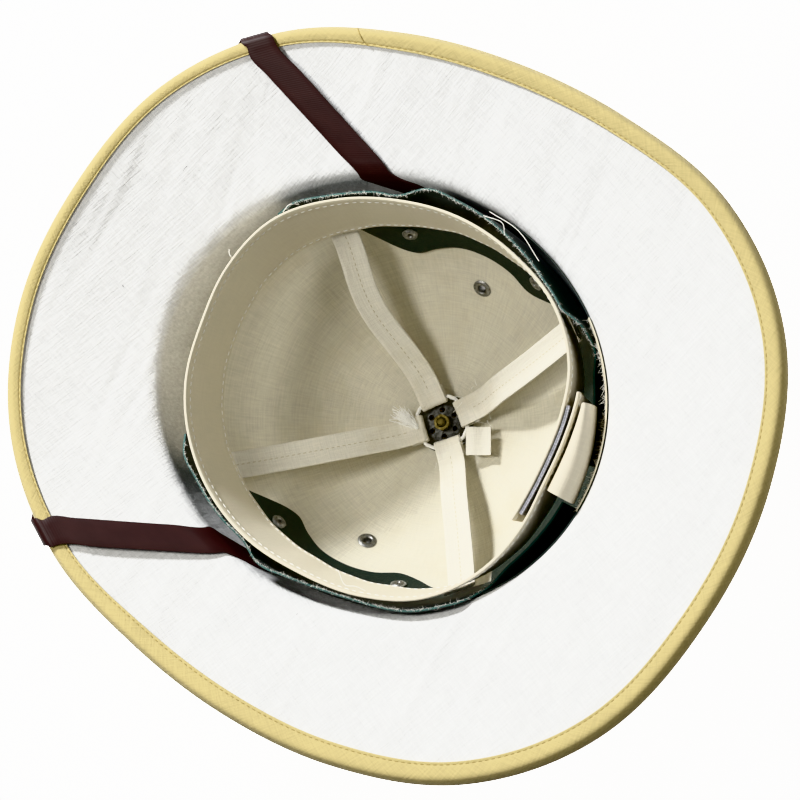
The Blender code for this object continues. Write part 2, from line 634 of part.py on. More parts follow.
def leather(side, drill):
    """A scalloped leather piece that stands between the band and the crown."""
    first, last = LEATHER_SECTIONS[0][0], LEATHER_SECTIONS[-1][0]
    angles = np.concatenate([np.linspace(first, LEATHER_TURN, 25),
                             np.linspace(LEATHER_TURN, last, 6)[1:]])
    stations = []
    for angle in angles:
        bottom = through(LEATHER_SECTIONS, 3, angle)
        top = np.minimum(through(LEATHER_SECTIONS, 4, angle), LEATHER_TOP)
        heights = bottom + (top - bottom) * np.array([0.0, 0.1, 0.24, 0.48, 0.74, 1.0])
        middle = leather_radius(side, angle, heights)
        half = LEATHER_THICKNESS / 2
        ring = [(r - half, z) for r, z in zip(middle, heights)]
        ring += [(r + half, z) for r, z in zip(middle[::-1], heights[::-1])]
        azimuth = side_azimuth(side, angle)
        stations.append([at_azimuth(azimuth, r, z) for r, z in ring])
    solid = carried(f"leather_{side}", np.array(stations), "green_leather", closed=False)
    cut(solid, drill)


# ---------------------------------------------------------------- tapes
def tapes():
    """Four tapes from behind the band's deep edge to loops on the cord ring over the disc."""
    cord_height = DISC_TOP + 2 * GAP + TAPE_THICKNESS + CORD_RADIUS
    bend = CORD_RADIUS + GAP + TAPE_THICKNESS / 2
    for name, band_azimuth, ring_azimuth, bow in TAPES:
        across = (band_azimuth - 4.5, band_azimuth, band_azimuth + 4.5)
        clear = GAP + TAPE_THICKNESS / 2 + 0.2
        deep = max(band_outer_radius(azimuth, BAND_BOTTOM) for azimuth in across)
        high = max(band_outer_radius(azimuth, BAND_BOTTOM + 9) for azimuth in across)
        slope = [(high + clear, BAND_BOTTOM + 9), (deep + clear + 0.1, BAND_BOTTOM + 0.5),
                 (deep - 1.0, BAND_BOTTOM - 3.0), (deep - 12, BAND_BOTTOM - 13.6),
                 (deep - 30, BAND_BOTTOM - 29.4), (deep - 48, BAND_BOTTOM - 43.8),
                 (22.0, cord_height + 4.6), (CORD_REACH + 2.4, cord_height + bend + 0.2)]
        line = smooth_path(slope, 2)
        loop = np.radians(np.linspace(90, 270, 6))
        turn = np.column_stack([CORD_REACH + bend * np.cos(loop), cord_height + bend * np.sin(loop)])
        tail = [(CORD_REACH + 3, cord_height - bend), (TAPE_TAIL_REACH, cord_height - bend + 0.4)]
        line = np.concatenate([line, turn, tail])
        way = np.clip((line[:, 0] - TAPE_TAIL_REACH) / (deep - TAPE_TAIL_REACH), 0.0, 1.0)
        azimuth = (ring_azimuth + (band_azimuth - ring_azimuth) * way
                   + bow * np.sin(np.pi * way) ** 2)
        points = at_azimuth(azimuth, line[:, 0], line[:, 1])
        step = np.gradient(line, axis=0)
        normals = at_azimuth(azimuth, step[:, 1], -step[:, 0])
        ribbon(name, points, normals, TAPE_WIDTH, TAPE_THICKNESS, "tape_cotton")
    tape_cord(cord_height)


def tape_cord(height):
    """The cord through the tapes' loops: straight in each loop and bent round between two."""
    path = []
    ring_azimuths = sorted(ring for _, _, ring, _ in TAPES)
    following = ring_azimuths[1:] + [ring_azimuths[0] + 360]
    for azimuth, after in zip(ring_azimuths, following):
        out, side = at_azimuth(azimuth, 1.0, 0.0), at_azimuth(azimuth + 90, 1.0, 0.0)
        path += [CORD_REACH * out + share * TAPE_WIDTH * side for share in (-0.53, 0.0, 0.53)]
        path.append(at_azimuth((azimuth + after) / 2, CORD_CORNER_REACH, 0.0))
    path = np.array(path) + (0, 0, height)
    along = np.roll(path, -1, axis=0) - np.roll(path, 1, axis=0)
    across = np.cross(along, (0, 0, 1))
    across /= np.linalg.norm(across, axis=1, keepdims=True)
    section = [CORD_RADIUS * (np.cos(a) * across + np.sin(a) * np.array((0, 0, 1)))
               for a in np.radians(np.arange(6) * 60.0)]
    carried("tape_cord", path[:, None] + np.stack(section, axis=1), "tape_cotton", closed=True)


# ---------------------------------------------------------------- chin strap
def skin_point(azimuth, share, offset):
    """Point and outward normal at an offset from the brim's lined face."""
    step = 0.01
    r, z = brim_row(azimuth, share)
    r2, z2 = brim_row(azimuth, share + step)
    length = np.hypot(r2 - r, z2 - z)
    normal_r, normal_z = (z2 - z) / length, -(r2 - r) / length
    point = at_azimuth(azimuth, r + offset * normal_r, z + offset * normal_z)
    return point, at_azimuth(azimuth, normal_r, normal_z)


def rim_direction(azimuth):
    """Direction along the rim, towards greater azimuths."""
    step = 2.0
    return unit(skin_point(azimuth + step, 1.0, 0.0)[0] - skin_point(azimuth - step, 1.0, 0.0)[0])


def strap_inside(end_azimuth, inside_azimuth, corner_azimuth, rim_top):
    """The strap's way from its hidden end up the wall and over the opening's rolled edge."""
    stations = []
    square = np.zeros(3)
    roll_foot = OPENING_HEIGHT - ROLL_REACH
    for height in (STRAP_END_HEIGHT, 95.0, 102.0):
        azimuth = np.interp(height, [STRAP_END_HEIGHT, roll_foot], [end_azimuth, inside_azimuth])
        at, out = lined_spot(azimuth, height)
        stations.append((at - (STRAP_SEAT + WALL_SLACK) * out, -out, square))

    step = 2.0
    before, after = (at_azimuth(a, opening_reach(a), 0.0)
                     for a in (corner_azimuth - step, corner_azimuth + step))
    edge = unit(after - before)
    steps = np.array([0.0, 0.2, 0.4, 0.6, 0.8, 1.0])
    rows = [roll_row(corner_azimuth, u) for u in steps]
    lifted = list(zip(*offset_rows(rows, -(STRAP_SEAT + ROLL_SLACK))))
    top = at_azimuth(corner_azimuth, roll_row(corner_azimuth, 0.5)[0], 0.0)
    straight = np.linspace(top, rim_top, 50)
    reach = np.hypot(straight[:, 0], straight[:, 1])
    heading = np.degrees(np.arctan2(straight[:, 1], straight[:, 0])) % 360
    for u, (r, z), (base_r, base_z) in list(zip(steps, lifted, rows))[1:]:
        azimuth = np.interp(u, [0.0, 0.5], [inside_azimuth, corner_azimuth])
        if u > 0.5:
            azimuth = np.interp(r, reach, heading)
        stations.append((at_azimuth(azimuth, r, z),
                         unit(at_azimuth(azimuth, r - base_r, z - base_z)), edge))
    return stations


def strap_fold(rim_azimuth, way):
    """The strap's turn round the bound rim, from the lined side to the other."""
    lift = STRAP_SEAT + GAP + CLOTH
    over = 2 * lift + CLOTH + GAP + PITH + 2 * RIM_SLACK
    upper, down = skin_point(rim_azimuth, 1.0, -lift - RIM_SLACK)
    lower, _ = skin_point(rim_azimuth, 1.0, over - lift - RIM_SLACK)
    rim = rim_direction(rim_azimuth)
    out = unit(np.cross(down, rim))
    out *= np.sign(out @ upper)
    rim *= np.sign(way @ rim)
    slant = (way @ rim) / (way @ out)
    bulge = RIM_BULGE + GAP + CLOTH + STRAP_SEAT + RIM_SLACK
    stations = []
    for turn in np.linspace(0, 1, STRAP_FOLD_STEPS + 1):
        c, s = np.cos(np.pi * turn), np.sin(np.pi * turn)
        reach = bulge * s ** FOLD_SQUARENESS
        fall = over / 2 * np.sign(c) * abs(c) ** FOLD_SQUARENESS
        across_rim = reach if turn <= 0.5 else 2 * bulge - reach
        lean = slant * across_rim + FOLD_DRIFT * (over / 2 - fall)
        stations.append(((upper + lower) / 2 - down * fall + out * reach + rim * lean,
                         out * s - down * c, rim))
    return stations


def strap_half(azimuths):
    """Half of the strap, from its hidden end up over the roll, the brim's lining and the rim."""
    end_azimuth, inside_azimuth, corner_azimuth, rim_azimuth = azimuths
    rim_top, down = skin_point(rim_azimuth, 0.95, -(STRAP_SEAT + GAP + CLOTH + 2 * RIM_SLACK))
    inside = strap_inside(end_azimuth, inside_azimuth, corner_azimuth, rim_top)
    start, lying, edge = inside[-1]
    fold = strap_fold(rim_azimuth, rim_top - start)
    rim = fold[0][2]
    edge = edge * np.sign(edge @ rim)
    brim_stretch = [(start + (rim_top - start) * share, lying * (1 - share) - down * share,
                     unit(edge * (1 - share) + rim * share)) for share in (0.2, 0.5, 0.8, 1.0)]
    return inside + brim_stretch + fold


def strap_front_run(start, finish):
    """The strap's hidden stretch before the crown, on the side of the brim away from the lining."""
    outside = CLOTH + GAP + PITH + STRAP_SEAT
    stations = []
    for u in np.linspace(0, 1, 15)[1:-1]:
        x = np.interp(u, [0, 1], [start[0], finish[0]])
        y = np.interp(u, [0, 0.42, 0.58, 1], [start[1], STRAP_FRONT, STRAP_FRONT, finish[1]])
        azimuth = np.degrees(np.arctan2(y, x)) % 360
        share = (np.hypot(x, y) - opening_reach(azimuth)) / brim_width(azimuth)
        over_binding = (CLOTH + GAP) * ease((share - 0.64) / 0.1)
        point, normal = skin_point(azimuth, share, outside + over_binding + BRIM_SLACK)
        near_fold = 1 - ease(min(u, 1 - u) / 0.2)
        rim = rim_direction(azimuth) * near_fold
        stations.append((point, normal, rim))
    return stations


def chin_strap():
    """The strap as one loop: the left half, the front run and the right half back again."""
    left, right = strap_half(STRAP_LEFT), strap_half(STRAP_RIGHT)
    front = strap_front_run(left[-1][0], right[-1][0])
    points, normals, laid_along = zip(*(left + front + right[::-1]))
    ribbon("chin_strap", points, normals, STRAP_WIDTH, STRAP_THICKNESS, "brown_strap", laid_along)


def main():
    for old in list(bpy.data.objects):
        bpy.data.objects.remove(old, do_unlink=True)
    crown_and_brim()
    brim_binding()
    ventilator()
    drill = fasteners()
    for name in ("crown", "crown_lining"):
        cut(bpy.data.objects[name], drill)
    sweatband()
    band_trim()
    for side in ("left", "right"):
        leather(side, drill)
    tapes()
    chin_strap()


main()
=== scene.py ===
"""Pith helmet lying on its crown: cloth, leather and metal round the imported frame.

Metres, +Z up, and sizes in the tables in millimetres. The origin is the middle of the ventilator
cap's flat top, which the helmet lies on. -Y is the front, +Y the back, -X the wearer's left.
Azimuths are in degrees about Z: 0 is +X, 90 the back, 180 the left side and 270 the front.
Every cloth layer is an offset of one surface, the lined face: a positive offset goes into the
wall, a negative one into the hollow or above the brim.
"""

import bpy
import numpy as np
from mathutils import Matrix, Vector


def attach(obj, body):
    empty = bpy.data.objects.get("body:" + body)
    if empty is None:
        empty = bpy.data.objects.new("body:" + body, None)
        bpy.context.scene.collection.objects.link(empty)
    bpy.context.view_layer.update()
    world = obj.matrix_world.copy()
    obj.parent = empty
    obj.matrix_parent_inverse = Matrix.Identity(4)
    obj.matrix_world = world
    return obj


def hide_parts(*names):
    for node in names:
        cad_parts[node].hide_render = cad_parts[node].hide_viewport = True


bl_info = {
    "name": "Pith helmet",
    "version": (1, 0, 0),
    "blender": (4, 5, 0),
    "location": "3D View > Sidebar > Helmet",
    "description": "Builds the cloth, leather and metal of a pith helmet that lies on its crown",
    "category": "Object",
}

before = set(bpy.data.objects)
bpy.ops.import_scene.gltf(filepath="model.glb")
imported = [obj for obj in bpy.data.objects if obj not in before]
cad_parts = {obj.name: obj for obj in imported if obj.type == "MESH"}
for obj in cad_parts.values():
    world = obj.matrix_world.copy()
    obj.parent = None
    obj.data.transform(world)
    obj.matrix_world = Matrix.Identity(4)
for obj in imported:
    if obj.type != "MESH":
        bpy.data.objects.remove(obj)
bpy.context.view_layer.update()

MM = 0.001

# ---------------- sizes of the frame, millimetres
OPENING_HEIGHT = 120.0
OPENING_HALF_WIDTH = 93.3
OPENING_HALF_LENGTH = 102.8
OPENING_SHIFT = -3.4
CROWN_DEPTH = 104.0
CROWN_FULLNESS = 2.1
ROLL_REACH = 9.0            # the way of the strap over the opening's edge
CLOTH_ROLL_REACH = 6.0      # the cloth is drawn tighter round the same edge
BRIM_SAG = 0.25
SPLIT_DEG = 0.3             # step on the dome that is left open where two rings meet

CLOTH = 1.0
PITH = 3.8
GAP = 0.3
TURN_IN_DEPTH_DEG = 16.0
BINDING_OVER = 8.0
RIM_BULGE = 1.0

VENT_HOLE_RADIUS = 13.0
CAP_RADIUS = 22.0
CAP_FLAT_RADIUS = 17.0
CAP_WALL = 1.4
CAP_HEIGHT = 12.0
DISC_RADIUS = 9.2
DISC_SKIRT_RADIUS = 13.6
DISC_TOP = 21.2
DISC_SHEET = 1.0
PERFORATIONS = 6
PERFORATION_RADIUS = 1.3
PERFORATION_CIRCLE = 6.3
BOLT_RADIUS = 1.9
BOLT_TOP = 26.6
NUT_ACROSS_FLATS = 7.0
NUT_HEIGHT = 3.2

BAND_THICKNESS = 2.0
BAND_TOP = 126.0
BAND_BOTTOM = 85.0
HEM_TOP = 5.2               # depth of the folded edge at the opening
HEM_BOTTOM = 4.0            # and at the deep edge
GRIP_AZIMUTHS = (-250.0, -285.0)
GRIP_THICKNESS = 1.3
TAB_AZIMUTHS = (111.0, 85.0)
TAB_REACH = (92.6, 94.8)
TAB_THICKNESS = 1.4
# rolled tab: way out from the band and height, along its middle
TAB_ROLL = ((0.0, 112.0), (0.1, 121.0), (2.0, 125.2), (5.0, 125.8), (7.8, 123.2), (9.2, 118.0),
            (9.0, 112.0))
LEATHER_THICKNESS = 1.4
LEATHER_SLACK = 0.3
LEATHER_TOP = 124.5
# leather's edges: depth below the edge, share of the thickness there
EDGE_ROUNDING = ((0.0, 0.55), (0.35, 0.86), (0.75, 1.0))
STRAP_WIDTH = 12.4
STRAP_THICKNESS = 1.0
STRAP_END_HEIGHT = 88.0
TAPE_WIDTH = 12.6
TAPE_THICKNESS = 1.2
CORD_REACH = 10.4
CORD_CORNER_REACH = 12.4
CORD_RADIUS = 0.9
RIVET_HEAD_RADIUS = 3.0
RIVET_SHANK_RADIUS = 1.5
EYELET_FLANGE_RADIUS = 4.4
EYELET_TUBE_RADIUS = 2.5
EYELET_BORE_RADIUS = 1.8
SHEET_METAL = 0.7

# rim: azimuth, reach, height of the lined face, width of the binding on the lined side
RIM_SECTIONS = (
    (0, 149.6, 142.0, 5.9), (20, 157.6, 142.7, 6.0), (40, 169.3, 145.2, 5.8),
    (60, 175.2, 148.4, 5.3), (80, 173.7, 150.6, 5.0), (100, 174.9, 150.7, 4.9),
    (120, 176.2, 148.5, 5.0), (140, 169.0, 145.3, 5.1), (160, 156.0, 142.7, 5.0),
    (180, 150.7, 142.0, 4.9), (200, 153.8, 142.4, 4.4), (220, 162.7, 143.3, 3.2),
    (240, 166.8, 144.3, 2.8), (260, 164.8, 144.9, 2.9), (280, 165.6, 144.9, 3.0),
    (300, 163.8, 144.3, 3.1), (320, 157.3, 143.2, 4.0), (340, 149.0, 142.3, 5.3),
)
# sweatband: azimuth, radius at the opening, radius of the deep edge
BAND_SECTIONS = (
    (114, 87.4, 84.6), (100, 84.0, 81.4), (86, 82.9, 80.4), (72, 85.8, 81.4), (55, 89.2, 83.0),
    (38, 89.8, 83.0), (20, 86.6, 80.6), (0, 83.8, 79.0), (-20, 85.2, 79.8), (-45, 87.4, 83.0),
    (-70, 89.0, 86.6), (-88, 88.6, 87.4), (-105, 91.4, 88.6), (-122, 92.8, 88.0),
    (-142, 88.2, 83.6), (-160, 84.5, 81.2), (-180, 83.0, 80.6), (-200, 82.8, 80.8),
    (-222, 84.8, 82.0), (-240, 83.8, 80.8), (-252, 81.0, 78.4), (-268, 78.4, 76.0),
    (-282, 79.2, 76.6), (-288, 80.4, 77.6),
)
# leather: angle from the side towards the front, radius at the opening left and right, heights of
# the deep edge and of the edge at the opening
LEATHER_SECTIONS = (
    (56, 95.4, 91.6, 114.0, 119.5), (50, 94.8, 92.4, 95.0, 124.5), (42, 92.0, 90.2, 71.0, 124.5),
    (35, 90.2, 89.2, 59.0, 124.5), (28, 89.0, 88.2, 54.5, 124.5), (20, 87.0, 86.9, 57.5, 124.5),
    (12, 91.2, 90.0, 60.5, 124.5), (3, 89.6, 88.0, 61.0, 124.5), (-8, 88.0, 87.2, 59.0, 124.5),
    (-17, 86.8, 88.4, 55.5, 124.5), (-25, 86.2, 91.0, 59.5, 124.5),
    (-32, 85.9, 93.6, 67.0, 124.5), (-42, 87.0, 95.3, 72.0, 124.5),
    (-48, 92.0, 96.0, 74.0, 122.5), (-54, 93.0, 94.0, 74.0, 113.0), (-61, 88.0, 88.0, 74.0, 107.0),
    (-70, 87.0, 86.0, 74.0, 106.0), (-84, 86.0, 85.0, 76.0, 106.0),
)
FRONT_RIVET = (27.8, 65.2)
BACK_RIVET = (-19.2, 65.0)
EYELET = (3.1, 42.0)
# chin strap: azimuths at its hidden end, below the roll, on top of the roll and at the rim
STRAP_LEFT = (190.0, 201.3, 207.8, 223.0)
STRAP_RIGHT = (351.5, 341.3, 334.0, 317.6)
STRAP_FOLD_STEPS = 6
FOLD_SQUARENESS = 0.72
FOLD_DRIFT = 0.2
STRAP_FRONT = -122.0
STRAP_SEAT = STRAP_THICKNESS / 2 + GAP
WALL_SLACK = 0.65
ROLL_SLACK = 1.3
RIM_SLACK = 0.25
BRIM_SLACK = 0.4
# tapes: name, azimuth at the band, azimuth at the cord, bow between them
TAPES = (
    ("tape_front_left", 226.0, 227.0, 5.5), ("tape_front_right", 312.0, 312.0, 0.0),
    ("tape_back_right", 43.0, 42.0, 0.0), ("tape_back_left", 138.0, 137.0, 0.0),
)
TAPE_TAIL_REACH = 17.0
# spare tape end beside the disc: azimuth, radius and height of its corners, edge by edge
SPARE_TAPE = (((102.5, 12.5, 25.4), (63.0, 20.1, 25.4)), ((107.9, 24.4, 25.6), (81.6, 29.1, 25.8)))
SPARE_TAPE_THICKNESS = 0.6
# loose threads over leather and band: azimuth, radius and height of the points on their way
LOOSE_THREADS = (
    ((251.8, 97.8, 121), (252.6, 95.0, 123.2), (252.8, 92.2, 121)),
    ((234.2, 94.4, 122), (231.5, 95.2, 124), (229.2, 93.4, 123)),
    ((12.6, 77.6, 127.2), (15.5, 82.8, 127.6), (19.0, 83.0, 128), (21.9, 84.5, 127)),
    ((173.9, 88.5, 125), (168.0, 90.2, 127), (165.3, 86.7, 126.5)),
    ((173.1, 91.3, 124.6), (163.0, 91.8, 126.2), (152.9, 89.2, 126)),
)
# lint on the brim: azimuth, radius, share of the way from the opening to the rim
LINT = ((245.3, 134.6, 0.6), (271.7, 128.6, 0.4), (4.0, 101.0, 0.2))
# seam of the binding: azimuth on the lined side and on the other
BINDING_SEAM = (205.5, 208.0)
# stitches: length and radius of the thread
RIM_STITCH = (1.9, 0.22)
BAND_STITCH = (2.3, 0.27)
TAPE_STITCH_PITCH = 2.8
TAPE_STITCH = (1.9, 0.17)
# loose fibres: length and radius
LINT_FIBRE = (1.6, 0.14)
EDGE_FIBRE = (1.2, 0.06)
EDGE_FIBRES = 800
HEM_FIBRE = (2.0, 0.09)
TAPE_FIBRE = (5.0, 0.12)
TAPE_FIBRE_AZIMUTHS = (22.0, 62.0, 117.0, 157.0)
LOOSE_THREAD_RADIUS = 0.16
SEAM_THREAD_RADIUS = 0.3
TORN_RING_RADIUS = 0.32
# the cord's strands: turns on the whole ring, reach of a strand's middle, radius
CORD_TWIST = (15, 0.42, 0.48)
# frayed end of the cord: number of fibres and their radius; mean and spread of the azimuth of
# their ends and of the knot
TUFT_FIBRES = (70, 0.15)
TUFT_END = (284, 6)
TUFT_KNOT = (303, 5)
# dark leather ply on the wall at the back, painted shade for the gap behind the band, and the torn
# hem
# above it: first and last azimuth, height of the top edge, lift off the wall, thickness
BACK_SHADE_PLY = (50.0, 168.0, 117.5, 0.3, 0.5)
RAW_HEM = (84.0, 134.0, 118.6, 0.9, 0.3)
LIGHTS_AIM = (0.0, 0.0, 0.1)
# lights: name, way to the light (right, up, back in the view), distance and size in metres, colour
LIGHTS = (
    ("key", (-0.95, 1.0, 0.6), 1.2, 0.2, (0.975, 0.985, 1.0)),
    ("side", (-0.88, 0.2, 1.0), 0.8, 0.2, (1.0, 0.985, 0.94)),
    ("weak", (0.8, 0.3, 1.0), 0.8, 0.3, (1.0, 0.985, 0.94)),
)


# ---------------- colours and materials
def linear(code):
    """Linear red, green, blue and alpha of an sRGB hex colour."""
    srgb = np.array([int(code[i:i + 2], 16) for i in (1, 3, 5)]) / 255
    value = np.where(srgb <= 0.04045, srgb / 12.92, ((srgb + 0.055) / 1.055) ** 2.4)
    return (*value.tolist(), 1.0)


def add(tree, kind, inputs=None, **settings):
    """Adds one node. Settings are its own choices; inputs are values, or sockets to link from."""
    made = tree.nodes.new("ShaderNode" + kind)
    for key, value in settings.items():
        setattr(made, key, value)
    for socket, value in (inputs or {}).items():
        if isinstance(value, bpy.types.NodeSocket):
            tree.links.new(value, made.inputs[socket])
        else:
            made.inputs[socket].default_value = value
    return made


def start_material(name):
    """An empty material with its shader, and the shader's node tree."""
    material = bpy.data.materials.new(name)
    material.use_nodes = True
    tree = material.node_tree
    return material, tree, tree.nodes["Principled BSDF"]


def noise(tree, place, scale, detail, **more):
    """A noise pattern at a place, as a node."""
    return add(tree, "TexNoise", {"Vector": place, "Scale": scale, "Detail": detail, **more})


def stretched(tree, value, low, high, least=0.0, most=1.0):
    """A value from low to high, stretched to run from least to most."""
    return add(tree, "MapRange", {"Value": value, "From Min": low, "From Max": high,
                                  "To Min": least, "To Max": most}).outputs[0]


def blended(tree, share, first, second):
    """Two colours mixed by a share of the second."""
    return add(tree, "Mix", {"Factor": share, 6: first, 7: second}, data_type="RGBA").outputs[2]


def scaled(tree, colour, share):
    """A colour made darker or lighter by a share."""
    return add(tree, "VectorMath", {0: colour[:3], "Scale": share}, operation="SCALE").outputs[0]


def relief(tree, height, depth_mm, strength, **more):
    """Normals of a surface whose height is drawn that deep, in millimetres."""
    return add(tree, "Bump", {"Height": height, "Distance": depth_mm * MM, "Strength": strength,
                              **more}).outputs[0]


def finished(tree, shader, material, base, normal, **sockets):
    """Links colour and normals to the shader, sets its other sockets and gives the material."""
    tree.links.new(base, shader.inputs["Base Color"])
    tree.links.new(normal, shader.inputs["Normal"])
    for socket, value in sockets.items():
        shader.inputs[socket.replace("_", " ")].default_value = value
    return material


def woven_cotton(name, colour, thread_mm, turn_deg=0.0, on_uv=True, tone=0.05, relief_mm=0.12,
                 crease_mm=0.0, stain=None, sheen=0.15):
    """Plain-woven cotton: two sets of slubby threads, faint clouding and soft creases.

    The real threads are about 0.4 mm apart, finer than a pixel, so they are drawn in coarser
    bundles of thread_mm, which gives the eye the cloth's dry, grainy look.
    """
    material, tree, shader = start_material(name)
    place = add(tree, "TexCoord").outputs["UV" if on_uv else "Object"]
    turned_place = add(tree, "Mapping", {"Vector": place, "Rotation": (0, 0, np.radians(turn_deg))})
    bundle = 1 / (thread_mm * MM)
    heights = []
    for scale in ((bundle, bundle / 14, bundle / 4), (bundle / 14, bundle, bundle / 4)):
        along = add(tree, "Mapping", {"Vector": turned_place.outputs[0], "Scale": scale})
        heights.append(noise(tree, along.outputs[0], 1.0, 3.0, Roughness=0.65))
    weave = add(tree, "Math", {0: heights[0].outputs[0], 1: heights[1].outputs[0]},
                operation="ADD")
    cloud = noise(tree, place, 38.0, 4.0, Roughness=0.6)
    mixed = add(tree, "Math", {0: cloud.outputs[0], 1: 0.5, 2: weave.outputs[0]},
                operation="MULTIPLY_ADD")
    base = scaled(tree, colour, stretched(tree, mixed.outputs[0], 0.85, 1.65, 1 - 2 * tone,
                                          1 + tone))
    if stain:
        patch = noise(tree, place, 16.0, 5.0, Roughness=0.7)
        base = blended(tree, stretched(tree, patch.outputs[0], 0.5, 0.75, 0.0, 0.55), base, stain)
    normal = relief(tree, weave.outputs[0], relief_mm, 0.8)
    if crease_mm:
        fold = add(tree, "Mapping", {"Vector": place, "Rotation": (0, 0, np.radians(32)),
                                     "Scale": (8.0, 38.0, 10.0)})
        wave = noise(tree, fold.outputs[0], 1.0, 2.0, Distortion=0.6)
        normal = relief(tree, wave.outputs[0], crease_mm, 1.0, Normal=normal)
    return finished(tree, shader, material, base, normal, Roughness=0.92, Sheen_Weight=sheen,
                    Sheen_Roughness=0.5)


def split_leather(name, colour, fuzz, nap=0.0):
    """Dark split leather, dyed and matt: fine pores, a mottled dye and a dull broad sheen."""
    material, tree, shader = start_material(name)
    place = add(tree, "TexCoord").outputs["Object"]
    pores = add(tree, "TexVoronoi", {"Vector": place, "Scale": 1100.0}, feature="F1")
    mottle = noise(tree, place, 130.0, 5.0, Roughness=0.7).outputs[0]
    base = blended(tree, stretched(tree, mottle, 0.45, 0.8, 0.0, 0.8), colour, fuzz)
    height = add(tree, "Math", {0: pores.outputs["Distance"], 1: mottle}, operation="ADD")
    normal = relief(tree, height.outputs[0], 0.15 + nap, 0.7)
    return finished(tree, shader, material, base, normal, Roughness=0.62, Sheen_Weight=0.05 + nap)


def ribbed_strap(name, colour, worn):
    """Dark brown strap: very fine ribs across it that catch the light where it bends."""
    material, tree, shader = start_material(name)
    place = add(tree, "TexCoord").outputs["UV"]
    across = add(tree, "Mapping", {"Vector": place, "Scale": (1 / (1.1 * MM), 1 / (14 * MM), 1)})
    ribs = add(tree, "TexWave", {"Vector": across.outputs[0], "Scale": 0.32, "Distortion": 0.6,
                                 "Detail": 1.0}, bands_direction="X")
    cloud = noise(tree, place, 90.0, 4.0).outputs[0]
    base = blended(tree, stretched(tree, cloud, 0.4, 0.8, 0.0, 0.5), colour, worn)
    shader.inputs["Specular IOR Level"].default_value = 0.3
    return finished(tree, shader, material, base, relief(tree, ribs.outputs[1], 0.05, 0.5),
                    Roughness=0.5)


def pressed_metal(name, colour, dull, roughness):
    """Pressed and tumbled metal, dulled by handling: fine scratches and cloudy patches."""
    material, tree, shader = start_material(name)
    place = add(tree, "TexCoord").outputs["Object"]
    cloud = noise(tree, place, 700.0, 4.0, Roughness=0.65).outputs[0]
    base = blended(tree, stretched(tree, cloud, 0.4, 0.75), colour, dull)
    tree.links.new(stretched(tree, cloud, 0.3, 0.8, roughness, roughness + 0.25),
                   shader.inputs["Roughness"])
    return finished(tree, shader, material, base, relief(tree, cloud, 0.05, 0.5), Metallic=1.0)


def hooked_strip(name, colour):
    """Woven hook strip: rows of tiny hooks, drawn as bumps a millimetre apart."""
    material, tree, shader = start_material(name)
    place = add(tree, "TexCoord").outputs["UV"]
    hooks = add(tree, "TexVoronoi", {"Vector": place, "Scale": 900.0, "Randomness": 0.35})
    dips = hooks.outputs["Distance"]
    # The colour runs from 1.25 times on the hooks down to 0.45 times in the dips between them:
    # painted shade in the dips.
    base = scaled(tree, colour, stretched(tree, dips, 0.0, 0.7, 1.25, 0.45))
    raised = add(tree, "Math", {0: 1.0, 1: dips}, operation="SUBTRACT").outputs[0]
    return finished(tree, shader, material, base, relief(tree, raised, 0.5, 1.0), Roughness=0.6)


# ---------------- curves and the lined surface
def through(rows, column, at, period=None):
    """Smooth curve through one column of a table, whose first column is the station."""
    table = np.array(rows, float)
    table = table[np.argsort(table[:, 0])]
    x, y = table[:, 0], table[:, column]
    if period:
        x = np.concatenate([x[-2:] - period, x, x[:2] + period])
        y = np.concatenate([y[-2:], y, y[:2]])
        at = (np.asarray(at, float) - x[2]) % period + x[2]
    slope = np.gradient(y, x)
    i = np.clip(np.searchsorted(x, at, side="right") - 1, 0, len(x) - 2)
    step = x[i + 1] - x[i]
    u = (at - x[i]) / step
    rise = y[i + 1] - y[i]
    return (y[i] + rise * u * u * (3 - 2 * u)
            + step * u * (1 - u) * (slope[i] * (1 - u) - slope[i + 1] * u))


def ease(x):
    """0 below 0, 1 above 1, with a smooth step between."""
    x = np.clip(x, 0.0, 1.0)
    return x * x * (3 - 2 * x)


def unit(vectors):
    """Vectors of length 1 in the same directions."""
    return vectors / np.linalg.norm(vectors, axis=-1, keepdims=True)


def at_azimuth(azimuth, radius, height):
    """Points in space for azimuths in degrees, radii and heights."""
    a, radius, height = np.broadcast_arrays(np.radians(azimuth), radius, height)
    return np.stack([radius * np.cos(a), radius * np.sin(a), height], axis=-1)


def opening_reach(azimuth):
    """Distance from the crown's middle to the opening, an ellipse shifted towards the front."""
    c, s = np.cos(np.radians(azimuth)), np.sin(np.radians(azimuth))
    a = (c / OPENING_HALF_WIDTH) ** 2 + (s / OPENING_HALF_LENGTH) ** 2
    b = -2 * s * OPENING_SHIFT / OPENING_HALF_LENGTH ** 2
    k = (OPENING_SHIFT / OPENING_HALF_LENGTH) ** 2 - 1
    return (-b + np.sqrt(b * b - 4 * a * k)) / (2 * a)


def dome_row(azimuth, angle_deg):
    """Radius and height on the dome: angle 0 is the opening and 90 the top of the crown.

    Each section is a superellipse of power CROWN_FULLNESS, as wide as the opening at its azimuth
    and as deep as the crown.
    """
    t = np.radians(angle_deg)
    power = 2 / CROWN_FULLNESS
    return (opening_reach(azimuth) * np.cos(t) ** power,
            OPENING_HEIGHT - CROWN_DEPTH * np.sin(t) ** power + 0 * azimuth)


def vent_edge_angle(azimuth):
    """Angle on the dome of the round vent hole at the top of the crown."""
    share = VENT_HOLE_RADIUS / opening_reach(azimuth)
    return np.degrees(np.arccos(share ** (CROWN_FULLNESS / 2)))


